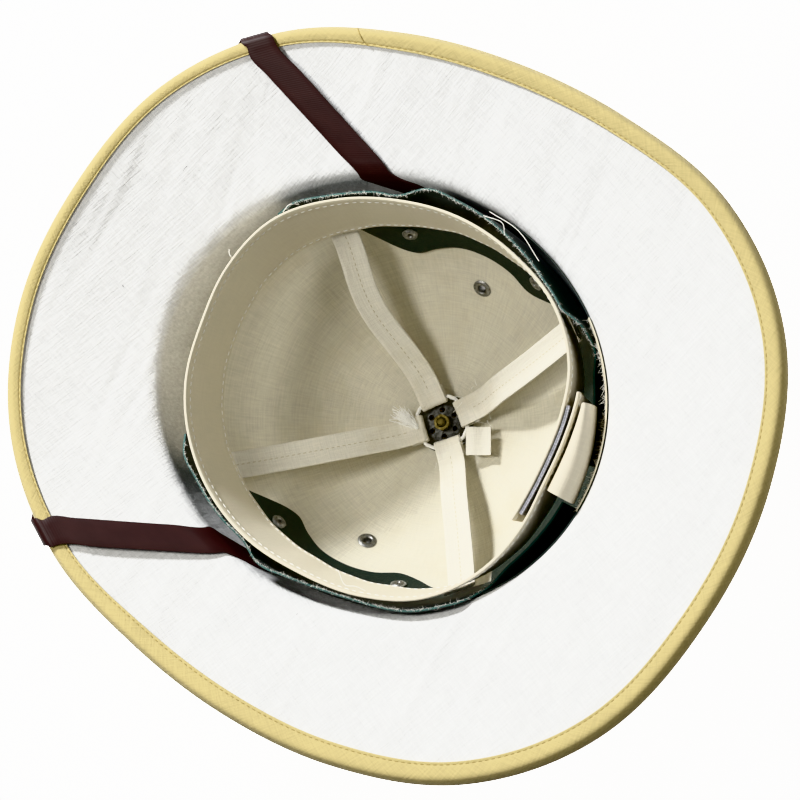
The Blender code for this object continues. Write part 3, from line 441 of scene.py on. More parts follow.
def brim_row(azimuth, share):
    """Radius and height on the brim's lined face: share 0 is the opening's corner, 1 the rim.

    The radius grows evenly. The height changes evenly too, but for a part BRIM_SAG of it that
    grows with the square of the share.
    """
    inner = opening_reach(azimuth)
    reach = through(RIM_SECTIONS, 1, azimuth, 360) - CLOTH - GAP - RIM_BULGE
    drop = through(RIM_SECTIONS, 2, azimuth, 360) - OPENING_HEIGHT
    return (inner + (reach - inner) * share,
            OPENING_HEIGHT + drop * ((1 - BRIM_SAG) * share + BRIM_SAG * share ** 2))


def brim_width(azimuth):
    """Width of the brim from the opening's corner to the rim, seen from above."""
    return brim_row(azimuth, 1.0)[0] - opening_reach(azimuth)


def roll_start_angle(reach):
    """Angle on the dome where a roll of this reach begins."""
    return np.degrees(np.arcsin((reach / CROWN_DEPTH) ** (CROWN_FULLNESS / 2)))


def roll_row(azimuth, u, roll_reach=ROLL_REACH):
    """Radius and height on the rolled edge of the opening, from the dome (0) to the brim (1).

    It is a parabola that leaves dome and brim along their lines to the opening's sharp corner.
    """
    start = dome_row(azimuth, roll_start_angle(roll_reach))
    end = brim_row(azimuth, roll_reach / brim_width(azimuth))
    corner = (opening_reach(azimuth), OPENING_HEIGHT)
    return tuple((1 - u) ** 2 * start[k] + 2 * u * (1 - u) * corner[k] + u * u * end[k]
                 for k in (0, 1))


def offset_rows(rows, distance):
    """Rows of (radius, height), moved into the wall across the section's own direction."""
    points = np.array([np.stack(np.broadcast_arrays(*row), axis=-1) for row in rows], float)
    step = np.diff(points, axis=0)
    length = np.linalg.norm(step, axis=-1, keepdims=True)
    heading = step / length
    inner = (heading[:-1] * length[1:] + heading[1:] * length[:-1]) / (length[:-1] + length[1:])
    heading = unit(np.concatenate([heading[:1], inner, heading[-1:]]))
    return (points[..., 0] + distance * heading[..., 1],
            points[..., 1] - distance * heading[..., 0])


def dome_rows(azimuth, count):
    """Rows from the dome's top hole down to just short of the turned-in cloth."""
    last = TURN_IN_DEPTH_DEG + SPLIT_DEG
    return [dome_row(azimuth, (1 - s) * vent_edge_angle(azimuth) + s * last)
            for s in np.linspace(0, 1, count)]


def turned_in_rows(azimuth, count):
    """Rows on the dome from the turned-in cloth's edge to just short of the roll."""
    last = roll_start_angle(ROLL_REACH) + SPLIT_DEG
    return [dome_row(azimuth, angle) for angle in np.linspace(TURN_IN_DEPTH_DEG, last, count)]


def brim_rows(azimuth, count):
    """Rows over the roll and out to the rim."""
    first = CLOTH_ROLL_REACH / brim_width(azimuth)
    flat = [brim_row(azimuth, first + (1 - first) * s) for s in np.linspace(0, 1, count)[1:]]
    wall = np.linspace(roll_start_angle(ROLL_REACH), roll_start_angle(CLOTH_ROLL_REACH), 4)[:-1]
    rolled = [roll_row(azimuth, u, CLOTH_ROLL_REACH) for u in np.linspace(0, 1, 10)]
    return [dome_row(azimuth, angle) for angle in wall] + rolled + flat


def lined_reach(azimuth, height):
    """Distance from the crown's middle to the lining at one azimuth, for heights."""
    rows = dome_rows(azimuth, 60) + turned_in_rows(azimuth, 5) + brim_rows(azimuth, 8)
    return np.interp(height, [z for _, z in rows], [r for r, _ in rows])


def lined_spread(azimuth, height):
    """How fast the lining spreads with height."""
    step = 2.0
    above, below = (lined_reach(azimuth, height + s) for s in (step, -step))
    return (above - below) / (2 * step)


def lined_spot(azimuth, height):
    """Point on the lining and the direction out through the wall."""
    point = at_azimuth(azimuth, lined_reach(azimuth, height), height)
    return point, unit(at_azimuth(azimuth, 1.0, -lined_spread(azimuth, height)))


def smooth_path(points, steps, run=None):
    """A smooth curve through points at stations of equal step, or at the given run."""
    points = np.asarray(points, float)
    stations = np.arange(len(points), dtype=float)
    at = np.linspace(0, len(points) - 1, (len(points) - 1) * steps + 1)
    if run is not None:
        at = np.interp(at, stations, run)
        stations = run
    columns = [through(np.column_stack([stations, points[:, k]]), 1, at)
               for k in range(points.shape[1])]
    return np.stack(columns, axis=1)


# ---------------- meshes
def place_piece(name, points, faces, finishes, slot, stands_for=(), uv=None, finish_of=None,
                sharp_deg=40.0):
    """One piece from points in millimetres and face arrays, riding on the helmet."""
    corners = [points[group] for group in faces]
    volume = sum(np.sum(c[:, 0] * np.cross(c[:, j], c[:, j + 1]))
                 for c in corners for j in range(1, c.shape[1] - 1))
    if volume < 0:
        faces = [group[:, ::-1] for group in faces]
        uv = uv and [group[:, ::-1] for group in uv]
    mesh = bpy.data.meshes.new(name)
    mesh.vertices.add(len(points))
    mesh.vertices.foreach_set("co", (points * MM).ravel())
    totals = np.concatenate([np.full(len(group), group.shape[1]) for group in faces])
    mesh.loops.add(int(totals.sum()))
    mesh.loops.foreach_set("vertex_index", np.concatenate([group.ravel() for group in faces]))
    mesh.polygons.add(len(totals))
    mesh.polygons.foreach_set("loop_start", np.concatenate([[0], np.cumsum(totals)[:-1]]))
    if finish_of is not None:
        mesh.polygons.foreach_set("material_index", np.concatenate(finish_of))
    if uv:
        layer = mesh.uv_layers.new(name="Cloth")
        flat = np.concatenate([group.reshape(-1, 2) for group in uv])
        layer.data.foreach_set("uv", (flat * MM).ravel())
    mesh.update(calc_edges=True)
    mesh.shade_smooth()
    mesh.set_sharp_from_angle(angle=np.radians(sharp_deg))
    for finish in finishes:
        mesh.materials.append(finish)
    piece = bpy.data.objects.new(name, mesh)
    bpy.context.scene.collection.objects.link(piece)
    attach(piece, "root")
    if stands_for:
        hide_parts(*stands_for)
    return piece


def place_swept(name, sections, finish, slot, stands_for=(), closed=False, sharp_deg=40.0):
    """One piece of one finish from sections carried along a path."""
    points, faces, uv, _ = carried(sections, closed)
    return place_piece(name, points, faces, [finish], slot, stands_for, uv, sharp_deg=sharp_deg)


def carried(sections, closed=False, edges=()):
    """A closed section carried along a path: sections[i, k] is corner k of the section at i.

    Gives points, faces, UVs in millimetres along the path and round the section, and the
    finish of each face: 1 on the sides of the section that edges names, and on the ends.
    """
    stations, corners, _ = sections.shape
    spans = stations if closed else stations - 1
    i, k = np.meshgrid(np.arange(spans), np.arange(corners), indexing="ij")
    j, m = (i + 1) % stations, (k + 1) % corners
    quads = np.stack([i * corners + k, j * corners + k, j * corners + m, i * corners + m],
                     axis=-1).reshape(-1, 4)
    middle = sections.mean(axis=1)
    steps = np.linalg.norm(np.roll(middle, -1, axis=0) - middle, axis=1)
    along = np.concatenate([[0], np.cumsum(steps)])
    sides = np.linalg.norm(np.roll(sections, -1, axis=1) - sections, axis=2)
    around = np.concatenate([np.zeros((stations, 1)), np.cumsum(sides, axis=1)], axis=1)
    flat = ((along[i], around[i, k]), (along[i + 1], around[j, k]),
            (along[i + 1], around[j, k + 1]), (along[i], around[i, k + 1]))
    uv = np.stack([np.stack(spot, axis=-1) for spot in flat], axis=-2).reshape(-1, 4, 2)
    faces, uvs = [quads], [uv]
    finish_of = [np.isin(k, edges).astype(np.int32).ravel()]
    if not closed:
        last = (stations - 1) * corners
        ends = [np.arange(corners)[None], last + np.arange(corners)[None, ::-1]]
        faces += ends
        uvs += [np.stack([around[0, :-1][None], around[0, :-1][None]], axis=-1)] * 2
        finish_of += [np.array([1 if len(edges) else 0], np.int32)] * 2
    return sections.reshape(-1, 3), faces, uvs, finish_of


def tubes(paths, radius, up, sides=6, closed=False):
    """Many round threads at once: paths[n, i] is point i of thread n, up points off the cloth."""
    count, stations, _ = paths.shape
    if closed:
        along = unit(np.roll(paths, -1, axis=1) - np.roll(paths, 1, axis=1))
    else:
        along = unit(np.gradient(paths, axis=1))
    across = unit(np.cross(along, np.broadcast_to(up, paths.shape)))
    lift = np.cross(across, along)
    turn = 2 * np.pi * np.arange(sides) / sides
    reach = np.broadcast_to(radius, (count, stations))[..., None, None]
    rings = paths[:, :, None] + reach * (np.cos(turn)[:, None] * across[:, :, None]
                                         + np.sin(turn)[:, None] * lift[:, :, None])
    spans = stations if closed else stations - 1
    n, i, k = np.meshgrid(np.arange(count), np.arange(spans), np.arange(sides), indexing="ij")
    j, m = (i + 1) % stations, (k + 1) % sides
    corner = [(n * stations + a) * sides + b for a, b in ((i, k), (i, m), (j, m), (j, k))]
    faces = [np.stack(corner, axis=-1).reshape(-1, 4)]
    if not closed:
        first = np.arange(count)[:, None] * stations * sides + np.arange(sides)
        faces += [first[:, ::-1], first + (stations - 1) * sides]
    return rings.reshape(-1, 3), faces


def joined(parts):
    """Points and faces of several shapes as one."""
    base = np.cumsum([0] + [len(points) for points, _ in parts])
    faces = [group + start for (_, groups), start in zip(parts, base) for group in groups]
    return np.concatenate([points for points, _ in parts]), faces


def stitch_threads(line, normals, pitch, length, radius, lean=0.0, wander=0.0):
    """A row of stitches on a line: short arcs of thread that come up and go down again."""
    step = np.linalg.norm(np.diff(line, axis=0), axis=1)
    run = np.concatenate([[0], np.cumsum(step)])
    count = int(run[-1] // pitch)
    at = (np.arange(count) + 0.5) * run[-1] / count
    middle = np.stack([np.interp(at, run, line[:, c]) for c in range(3)], axis=1)
    off = unit(np.stack([np.interp(at, run, normals[:, c]) for c in range(3)], axis=1))
    ahead = np.stack([np.interp(at + 0.5, run, line[:, c]) for c in range(3)], axis=1)
    behind = np.stack([np.interp(at - 0.5, run, line[:, c]) for c in range(3)], axis=1)
    along = unit(ahead - behind)
    across = np.cross(off, along)
    stray = wander * np.sin(at * 0.37) * np.cos(at * 0.091)
    share = np.linspace(-1, 1, 7)
    height = radius * (1.7 * (1 - share ** 4) - 1.3)
    long = share * length / 2
    paths = (middle[:, None] + along[:, None] * long[None, :, None]
             + across[:, None] * (lean * long[None, :] + stray[:, None])[..., None]
             + off[:, None] * height[None, :, None])
    return tubes(paths, radius * (1 - 0.45 * share ** 6), off[:, None])


def fibres(roots, length, radius, seed, rise=0.4):
    """Loose fibres: short bent threads that start at the roots and stray in all directions."""
    stray = np.random.default_rng(seed)
    count = len(roots)
    heading = unit(stray.normal(size=(count, 1, 3)) * (1.0, 1.0, rise))
    bend = stray.normal(size=(count, 1, 3)) * (0.5, 0.5, rise / 2)
    share = np.linspace(0, 1, 6)[None, :, None]
    reach = length * stray.uniform(0.4, 1.0, (count, 1, 1))
    paths = roots[:, None] + reach * (share * heading + share ** 2 * bend)
    return tubes(paths, radius * (1 - 0.6 * share[0, :, 0]), (0.12, 0.23, 1.0), sides=4)


def loose_thread(route, radius, steps=8):
    """One thread along a smooth curve through its route's points."""
    return tubes(smooth_path(route, steps)[None], radius, (0.12, 0.23, 1.0), sides=6)


def turned(profile, sides, centre=(0, 0, 0), axis=(0, 0, 1)):
    """A closed profile of (radius, height) turned round an axis. Radius 0 is a single point."""
    axis = unit(np.asarray(axis, float))
    side = unit(np.cross(axis, (1.0, 0.3, 0.2)))
    basis = np.stack([side, np.cross(axis, side), axis])
    a = 2 * np.pi * np.arange(sides) / sides
    points, rings, faces, count = [], [], [], 0
    for radius, height in profile:
        turn = a if radius > 0 else a[:1]
        ring = np.column_stack([radius * np.cos(turn), radius * np.sin(turn), 0 * turn + height])
        rings.append(count + np.arange(len(ring)))
        count += len(ring)
        points.append(ring @ basis + centre)
    for low, high in zip(rings, rings[1:] + rings[:1]):
        if len(low) == 1 and len(high) == 1:
            continue
        low_ring, high_ring = np.resize(low, sides), np.resize(high, sides)
        quad = np.stack([low_ring, np.roll(low_ring, -1), np.roll(high_ring, -1), high_ring],
                        axis=1)
        keep = [0, 2, 3] if len(low) == 1 else ([0, 1, 2] if len(high) == 1 else [0, 1, 2, 3])
        faces.append(quad[:, keep])
    return np.concatenate(points), faces


def drill_out(piece, drills):
    """Bores round holes through a piece: each drill is its foot, direction, radius, length."""
    points, faces = joined([turned([(0, 0), (radius, 0), (radius, length), (0, length)], 28,
                                   foot, direction) for foot, direction, radius, length in drills])
    mesh = bpy.data.meshes.new("drill")
    mesh.from_pydata((points * MM).tolist(), [], [f for group in faces for f in group.tolist()])
    tool = bpy.data.objects.new("drill", mesh)
    bpy.context.scene.collection.objects.link(tool)
    holes = piece.modifiers.new("holes", "BOOLEAN")
    holes.operation = "DIFFERENCE"
    holes.solver = "EXACT"
    holes.object = tool
    shown = piece.evaluated_get(bpy.context.evaluated_depsgraph_get())
    bored = bpy.data.meshes.new_from_object(shown)
    piece.modifiers.remove(holes)
    piece.data = bored
    bored.name = piece.name
    bpy.data.objects.remove(tool)
    bpy.data.meshes.remove(mesh)


# ---------------- settings a user would change
def swatch(name, description, code):
    """A colour setting whose default is an sRGB hex colour."""
    return bpy.props.FloatVectorProperty(name=name, description=description, subtype="COLOR",
                                         size=4, min=0, max=1, default=linear(code))


class ClothSettings(bpy.types.PropertyGroup):
    """Colours of the cloth pieces and the spacing of their stitches."""

    lining: swatch("Brim lining", "White cotton under the brim", "#DFDFDE")
    crown_lining: swatch("Crown lining", "Unbleached cotton inside the crown", "#DFDAC8")
    cover: swatch("Cover", "Khaki cotton drill outside", "#B39B5C")
    binding: swatch("Binding", "Bias binding round the rim", "#BAAB76")
    band: swatch("Sweatband", "Coated cream cloth of the band", "#DBD4C0")
    tape: swatch("Tapes", "Folded cotton tapes over the crown", "#EAE6D9")
    rim_pitch: bpy.props.FloatProperty(
        name="Rim stitch pitch", description="From one stitch of the binding to the next",
        unit="LENGTH", min=0.001, max=0.01, default=2.8 * MM)
    band_pitch: bpy.props.FloatProperty(
        name="Band stitch pitch", description="From one stitch of the band to the next",
        unit="LENGTH", min=0.001, max=0.01, default=3.4 * MM)


class TrimSettings(bpy.types.PropertyGroup):
    """Colours of the leather, strap and metal pieces."""

    leather: swatch("Leather", "Dark green split leather", "#0D1E19")
    cut_edge: swatch("Cut edge", "Pale teal edge of the cut leather", "#2E5752")
    strap: swatch("Chin strap", "Dark brown strap", "#2A1717")
    steel: swatch("Steel", "Nickelled steel, dulled", "#5F5F5C")
    brass: swatch("Brass", "Turned brass, dulled", "#6B6140")


class StageSettings(bpy.types.PropertyGroup):
    """Floor and lights."""

    floor: swatch("Floor", "Pale paper floor", "#FBFBFB")
    key_watts: bpy.props.FloatProperty(
        name="Key light", description="Power of the main light", unit="POWER",
        min=0, default=22.5)
    side_watts: bpy.props.FloatProperty(
        name="Side light", description="Power of the light from the left of the view",
        unit="POWER", min=0, default=3.8)
    low_watts: bpy.props.FloatProperty(
        name="Weak light", description="Power of the light from the right of the view",
        unit="POWER", min=0, default=1.1)
    sky: bpy.props.FloatProperty(
        name="Surrounding light", description="Strength of the even light from all round",
        subtype="FACTOR", min=0, max=3, default=0.12)


# ---------------- crown, brim and their cloth
def shell_drills():
    """Holes for the rivets and eyelets: foot, direction, radius and length of each drill."""
    drills = []
    for side in ("left", "right"):
        for angle, height in (FRONT_RIVET, BACK_RIVET):
            at, out = lined_spot(side_azimuth(side, angle), height)
            drills.append((at - 7 * out, out, RIVET_SHANK_RADIUS + GAP + 0.1, 16.0))
        at, out = lined_spot(side_azimuth(side, EYELET[0]), EYELET[1])
        drills.append((at - 3 * out, out, EYELET_TUBE_RADIUS + GAP + 0.1, 12.0))
    return drills


def side_azimuth(side, angle):
    """Azimuth of an angle that is counted from the wearer's left or right towards the front."""
    return 180.0 + angle if side == "left" else -angle


def ring_wall(rows, near_offset, far_offset, part, rounded=0.0):
    """A ring of wall between two offsets of some of the rows, its last end rounded if asked."""
    near_r, near_z = (a[part] for a in offset_rows(rows, near_offset))
    far_r, far_z = (a[part] for a in offset_rows(rows, far_offset))
    radii, heights = list(near_r), list(near_z)
    if rounded:
        out = unit(np.stack([near_r[-1] - near_r[-2], near_z[-1] - near_z[-2]]).T).T
        for share in (0.15, 0.5, 0.85):
            bulge = rounded * np.sqrt(1 - (2 * share - 1) ** 2)
            radii.append(near_r[-1] + (far_r[-1] - near_r[-1]) * share + bulge * out[0])
            heights.append(near_z[-1] + (far_z[-1] - near_z[-1]) * share + bulge * out[1])
    return radii + list(far_r[::-1]), heights + list(far_z[::-1])


def ring_points(azimuth, radii, heights):
    """Sections round the crown from lists of radii and heights at each azimuth."""
    return np.stack([at_azimuth(azimuth, r, z) for r, z in zip(radii, heights)], axis=1)


class HELMET_OT_shell(bpy.types.Operator):
    """Crown and brim walls of pith under their khaki cotton cover."""

    bl_idname = "helmet.shell"
    bl_label = "Crown and brim walls"

    def execute(self, context):
        cloth = context.scene.helmet_cloth
        drill = woven_cotton("cotton drill, khaki, glued over pith", cloth.cover, 0.9, 45.0,
                             tone=0.08, relief_mm=0.16, sheen=0.2)
        azimuth = np.arange(360) * 1.0
        inside, outside = CLOTH + GAP, CLOTH + GAP + PITH
        rows = dome_rows(azimuth, 30) + turned_in_rows(azimuth, 4)
        foot = len(rows)
        rows += brim_rows(azimuth, 18)
        crown = ring_points(azimuth, *ring_wall(rows, inside, outside, slice(None, foot)))
        drill_out(place_swept("crown_wall", crown, drill, "khaki_cover", ["crown"], True),
                  shell_drills())
        brim = ring_wall(rows, inside, outside, slice(foot, None), RIM_BULGE)
        place_swept("brim_wall", ring_points(azimuth, *brim), drill, "khaki_cover", ["brim"], True)
        return {"FINISHED"}


class HELMET_OT_linings(bpy.types.Operator):
    """White cotton under the brim and turned into the opening, and cream cotton in the crown."""

    bl_idname = "helmet.linings"
    bl_label = "Linings"

    def execute(self, context):
        cloth = context.scene.helmet_cloth
        white = woven_cotton("cotton, plain woven, bleached", cloth.lining, 0.8, 24.0, False,
                             tone=0.13, relief_mm=0.4, crease_mm=2.6)
        cream = woven_cotton("cotton, plain woven, unbleached", cloth.crown_lining, 0.9, 0.0,
                             tone=0.09, relief_mm=0.3, crease_mm=1.0, stain=linear("#CFC5A8"))
        azimuth = np.arange(480) * 0.75
        rows = dome_rows(azimuth, 40)
        hem = len(rows)
        rows += turned_in_rows(azimuth, 4) + brim_rows(azimuth, 34)
        sections = ring_points(azimuth, *ring_wall(rows, 0.0, CLOTH, slice(None, hem)))
        lining = place_swept("crown_cloth", sections, cream, "cream_cotton", ["crown_lining"], True)
        drill_out(lining, shell_drills())
        sections = ring_points(azimuth, *ring_wall(rows, 0.0, CLOTH, slice(hem, None)))
        brim = place_swept("brim_cloth", sections, white, "white_cotton", ["brim_lining"], True)
        specks = [at_azimuth(turn, reach, brim_row(turn, share)[1] + 0.3)
                  for turn, reach, share in LINT]
        lint = woven_cotton("cotton lint, dark", linear("#3B3A3A"), 0.5)
        place_piece("lint", *fibres(np.array(specks), *LINT_FIBRE, 3), [lint], "white_cotton")
        return {"FINISHED"}


# ---------------- binding
def binding_skins(azimuth):
    """Rows of the binding's outer and inner skin, from the lined side over the rim."""
    width = brim_width(azimuth)
    lap = through(RIM_SECTIONS, 3, azimuth, 360)
    shares = np.array([0.0, 0.02, 0.06, 0.14, 0.22, 0.3, 0.4, 0.6, 0.8, 1.0])
    under = [brim_row(azimuth, 1 - lap * (1 - s) / width) for s in shares]
    over = [brim_row(azimuth, 1 - BINDING_OVER * (1 - s) / width) for s in shares]
    out = [under[-1][k] - under[0][k] for k in (0, 1)]
    length = np.hypot(*out)
    out = [out[0] / length, out[1] / length]

    def skin(fullness):
        """Rows moved out from the brim by the cloth's thickness times a fullness per row."""
        rise = CLOTH * np.asarray(fullness)
        r1, z1 = offset_rows(under, -GAP)
        r2, z2 = offset_rows(over, CLOTH + GAP + PITH + GAP)
        n1 = [a - b for a, b in zip(offset_rows(under, -1.0), offset_rows(under, 0.0))]
        r1, z1 = r1 + rise[:, None] * n1[0], z1 + rise[:, None] * n1[1]
        r2, z2 = r2 - rise[:, None] * n1[0], z2 - rise[:, None] * n1[1]
        rows = list(zip(r1, z1))
        for share in (0.06, 0.15, 0.3, 0.5, 0.7, 0.85, 0.94):
            bulge = (1 - abs(2 * share - 1) ** 2.2) ** (1 / 2.2)
            reach = bulge * (RIM_BULGE + GAP + rise[-1])
            rows.append((r1[-1] + (r2[-1] - r1[-1]) * share + reach * out[0],
                         z1[-1] + (z2[-1] - z1[-1]) * share + reach * out[1]))
        return rows + list(zip(r2[::-1], z2[::-1]))

    outer = skin([0.55, 0.85, 1.0, 0.92, 0.68, 0.9, 1.0, 1.04, 1.02, 1.0])
    inner = skin([0.0] * len(shares))
    return outer, inner


class HELMET_OT_binding(bpy.types.Operator):
    """Bias binding folded round the rim, with its row of stitches on both sides."""

    bl_idname = "helmet.binding"
    bl_label = "Rim binding"

    def execute(self, context):
        cloth = context.scene.helmet_cloth
        bias = woven_cotton("cotton bias binding, khaki yellow", cloth.binding, 0.8, 45.0,
                            tone=0.1, relief_mm=0.3, sheen=0.2)
        # The thread is darker than the binding: its own khaki colour plus painted shade of the
        # stitch holes.
        thread = woven_cotton("cotton sewing thread, khaki, darkened for stitch-hole shade", linear("#9C8A52"), 0.5, tone=0.1)
        azimuth = np.arange(720) * 0.5
        outer, inner = binding_skins(azimuth)
        pucker = 0.16 * np.sin(np.radians(azimuth) * 360) * (1 + 0.5 * np.sin(azimuth * 0.31))
        for row, share in ((1, 0.5), (2, 0.8), (3, 0.9), (5, 1.0), (6, 0.5)):
            outer[row] = (outer[row][0], outer[row][1] + share * pucker)
        rows = outer + inner[::-1]
        sections = np.stack([at_azimuth(azimuth, r, z) for r, z in rows], axis=1)
        place_swept("rim_binding", sections, bias, "khaki_binding", ["brim_binding"], True)
        parts = []
        for row, far in ((4, -1.0), (len(outer) - 5, 1.0)):
            line = at_azimuth(azimuth, *outer[row])
            beside = at_azimuth(azimuth, *outer[row + 1])
            along = np.roll(line, -1, axis=0) - np.roll(line, 1, axis=0)
            normals = unit(np.cross(along, beside - line))
            normals *= np.sign(normals[:, 2:] * -far)
            closed = [np.concatenate([a, a[:1]]) for a in (line, normals)]
            parts.append(stitch_threads(*closed, cloth.rim_pitch / MM, *RIM_STITCH))
        seam = [at_azimuth(turn, *(column[int(2 * turn)] for column in outer[row]))
                for turn, row in zip(np.linspace(*BINDING_SEAM, 9), range(1, 18, 2))]
        parts.append(loose_thread(seam, SEAM_THREAD_RADIUS))
        place_piece("rim_stitches", *joined(parts), [thread], "khaki_binding")
        return {"FINISHED"}


# ---------------- sweatband
def band_radius(azimuth, height):
    """Radius of the middle of the sweatband's thickness."""
    near = through(BAND_SECTIONS, 1, azimuth)
    deep = through(BAND_SECTIONS, 2, azimuth)
    return deep + (near - deep) * (height - BAND_BOTTOM) / (BAND_TOP - BAND_BOTTOM)


def band_outer_radius(azimuth, height):
    """Outermost radius of the sweatband at an azimuth, over all its turns."""
    first, last = BAND_SECTIONS[-1][0], BAND_SECTIONS[0][0]
    reaches = [band_radius(azimuth + turn, height) for turn in (-720, -360, 0, 360)
               if first <= azimuth + turn <= last]
    return np.max(reaches, axis=0) + BAND_THICKNESS / 2


def band_half(height):
    """Half thickness of the band: thick in its two hems, pulled in at their stitches."""
    from_top, from_bottom = BAND_TOP - height, height - BAND_BOTTOM
    past_hem = np.minimum(from_top - HEM_TOP, from_bottom - HEM_BOTTOM)
    half = 0.55 + 0.3 * (1 - ease(past_hem / 0.8))
    for depth in (from_top - HEM_TOP, from_bottom - HEM_BOTTOM):
        half = half - 0.22 * np.exp(-((depth + 1.0) / 0.6) ** 2)
    nose = np.clip(np.minimum(from_top, from_bottom) / 2.2, 0, 1.0)
    return half * (0.3 + 0.7 * np.sqrt(np.clip(1 - (1 - nose) ** 2, 0, 1)))


class HELMET_OT_sweatband(bpy.types.Operator):
    """Sweatband with folded and stitched edges, open at the back where it passes itself."""

    bl_idname = "helmet.sweatband"
    bl_label = "Sweatband"

    def execute(self, context):
        cloth = context.scene.helmet_cloth
        coated = woven_cotton("cotton twill, cream, coated", cloth.band, 0.9, 0.0, tone=0.03,
                              relief_mm=0.08, sheen=0.05)
        thread = woven_cotton("cotton sewing thread, white", linear("#FFFEFA"), 0.5, tone=0.03)
        azimuth = np.linspace(BAND_SECTIONS[0][0], BAND_SECTIONS[-1][0], 540)
        edge = np.array([0.0, 0.15, 0.45, 0.9, 1.6, 2.4, 3.2, 3.8, 4.2, 4.8, 5.3, 6.0])
        middle = np.linspace(BAND_BOTTOM + 8, BAND_TOP - 8, 12)
        heights = np.concatenate([BAND_BOTTOM + edge, middle, BAND_TOP - edge[::-1]])
        half = band_half(heights)
        ring = list(zip(heights, -half)) + list(zip(heights[::-1], half[::-1]))
        wave = 0.18 * np.sin(azimuth * 0.21) + 0.12 * np.sin(azimuth * 0.47 + 1.0)
        sections = np.stack([at_azimuth(azimuth, band_radius(azimuth, z) + out
                                        + wave * ease((BAND_TOP - z) / 20.0), z)
                             for z, out in ring], axis=1)
        place_swept("band", sections, coated, "band_cloth", ["sweatband"])
        parts = []
        for z in (BAND_TOP - HEM_TOP + 1.0, BAND_BOTTOM + HEM_BOTTOM - 1.0):
            for side in (-1, 1):
                bulge = side * band_half(np.array([z]))[0]
                line = at_azimuth(azimuth, band_radius(azimuth, z) + bulge
                                  + wave * ease((BAND_TOP - z) / 20.0), z)
                normals = at_azimuth(azimuth, float(side), 0.0)
                parts.append(stitch_threads(line, normals, cloth.band_pitch / MM, *BAND_STITCH))
        place_piece("band_stitches", *joined(parts), [thread], "band_cloth")
        return {"FINISHED"}


class HELMET_OT_band_trim(bpy.types.Operator):
    """Grey grip strip between the band's ends, and the tab rolled outwards at its end."""

    bl_idname = "helmet.band_trim"
    bl_label = "Grip strip and size tab"

    def execute(self, context):
        cloth = context.scene.helmet_cloth
        hooks = hooked_strip("nylon hook strip, grey", linear("#A9A9B0"))
        tab_cloth = woven_cotton("cotton tab, cream, sized", cloth.band, 0.9, 0.0, tone=0.05,
                                 relief_mm=0.1)
        azimuth = np.linspace(*GRIP_AZIMUTHS, 60)
        inner = BAND_THICKNESS / 2 + GAP
        low, high, outer = BAND_BOTTOM + 6, BAND_TOP - 0.6, inner + GRIP_THICKNESS
        corners = ((low, inner), (high, inner), (high, outer), (low, outer))
        sections = np.stack([at_azimuth(azimuth, band_radius(azimuth, height) + out, height)
                             for height, out in corners], axis=1)
        place_swept("grip", sections, hooks, "grey_grip", ["grip_strip"])

        azimuth = np.linspace(*TAB_AZIMUTHS, 50)
        middle = smooth_path(TAB_ROLL, 5)
        along = unit(np.gradient(middle, axis=0))
        across = np.column_stack([-along[:, 1], along[:, 0]]) * TAB_THICKNESS / 2
        section = np.concatenate([middle + across, (middle - across)[::-1]])
        start = band_radius(azimuth, BAND_TOP) + inner + TAB_THICKNESS / 2
        roll_out = (np.linspace(*TAB_REACH, len(azimuth)) - start) / TAB_ROLL[-2][0]
        sections = np.stack([at_azimuth(azimuth, start + roll_out * out, height)
                             for out, height in section], axis=1)
        place_swept("rolled_tab", sections, tab_cloth, "band_cloth", ["size_tab"])
        return {"FINISHED"}


# ---------------- leather
def leather_clearance(angle, height):
    """From the lining to the middle of the leather: wider where the strap runs behind it."""
    over_strap = ease((angle + 2.0) / 6.0) * ease((38.0 - angle) / 8.0)
    over_strap = over_strap * ease((height - 72.0) / 10.0)
    strap_room = STRAP_THICKNESS + GAP + 1.0
    return GAP + LEATHER_THICKNESS / 2 + LEATHER_SLACK + strap_room * over_strap


def leather_radius(side, angle, height):
    """Radius of the middle of the leather, from its own edge down to the crown's wall."""
    azimuth = side_azimuth(side, angle)
    edge = through(LEATHER_SECTIONS, 1 if side == "left" else 2, angle)
    room = leather_clearance(angle, height) + GAP * ease((height - 98.0) / 10.0)
    wall = lined_reach(azimuth, height) - room * np.hypot(1.0, lined_spread(azimuth, height))
    lean = ease((height - 78.0) / (LEATHER_TOP - 78.0))
    band = band_outer_radius(azimuth, height) + GAP + LEATHER_THICKNESS / 2
    return np.maximum(np.minimum(wall + (edge - wall) * lean, wall), np.minimum(band, wall))


def leather_sections(side, count):
    """Sections of a leather piece along its angle: a ring up its face, over its edge and down."""
    first, last = LEATHER_SECTIONS[0][0], LEATHER_SECTIONS[-1][0]
    depth, fullness = np.array(EDGE_ROUNDING).T
    half = LEATHER_THICKNESS / 2 * np.concatenate([fullness, np.ones(20), fullness[::-1]])
    stations = []
    for angle in np.linspace(first, last, count):
        bottom = through(LEATHER_SECTIONS, 3, angle)
        top = np.minimum(through(LEATHER_SECTIONS, 4, angle), LEATHER_TOP)
        heights = np.concatenate([bottom + depth, np.linspace(bottom + 1.4, top - 1.4, 20),
                                  top - depth[::-1]])
        middle = leather_radius(side, angle, heights)
        azimuth = side_azimuth(side, angle)
        stations.append(at_azimuth(azimuth, np.concatenate([middle - half, (middle + half)[::-1]]),
                                   np.concatenate([heights, heights[::-1]])))
    return np.array(stations)


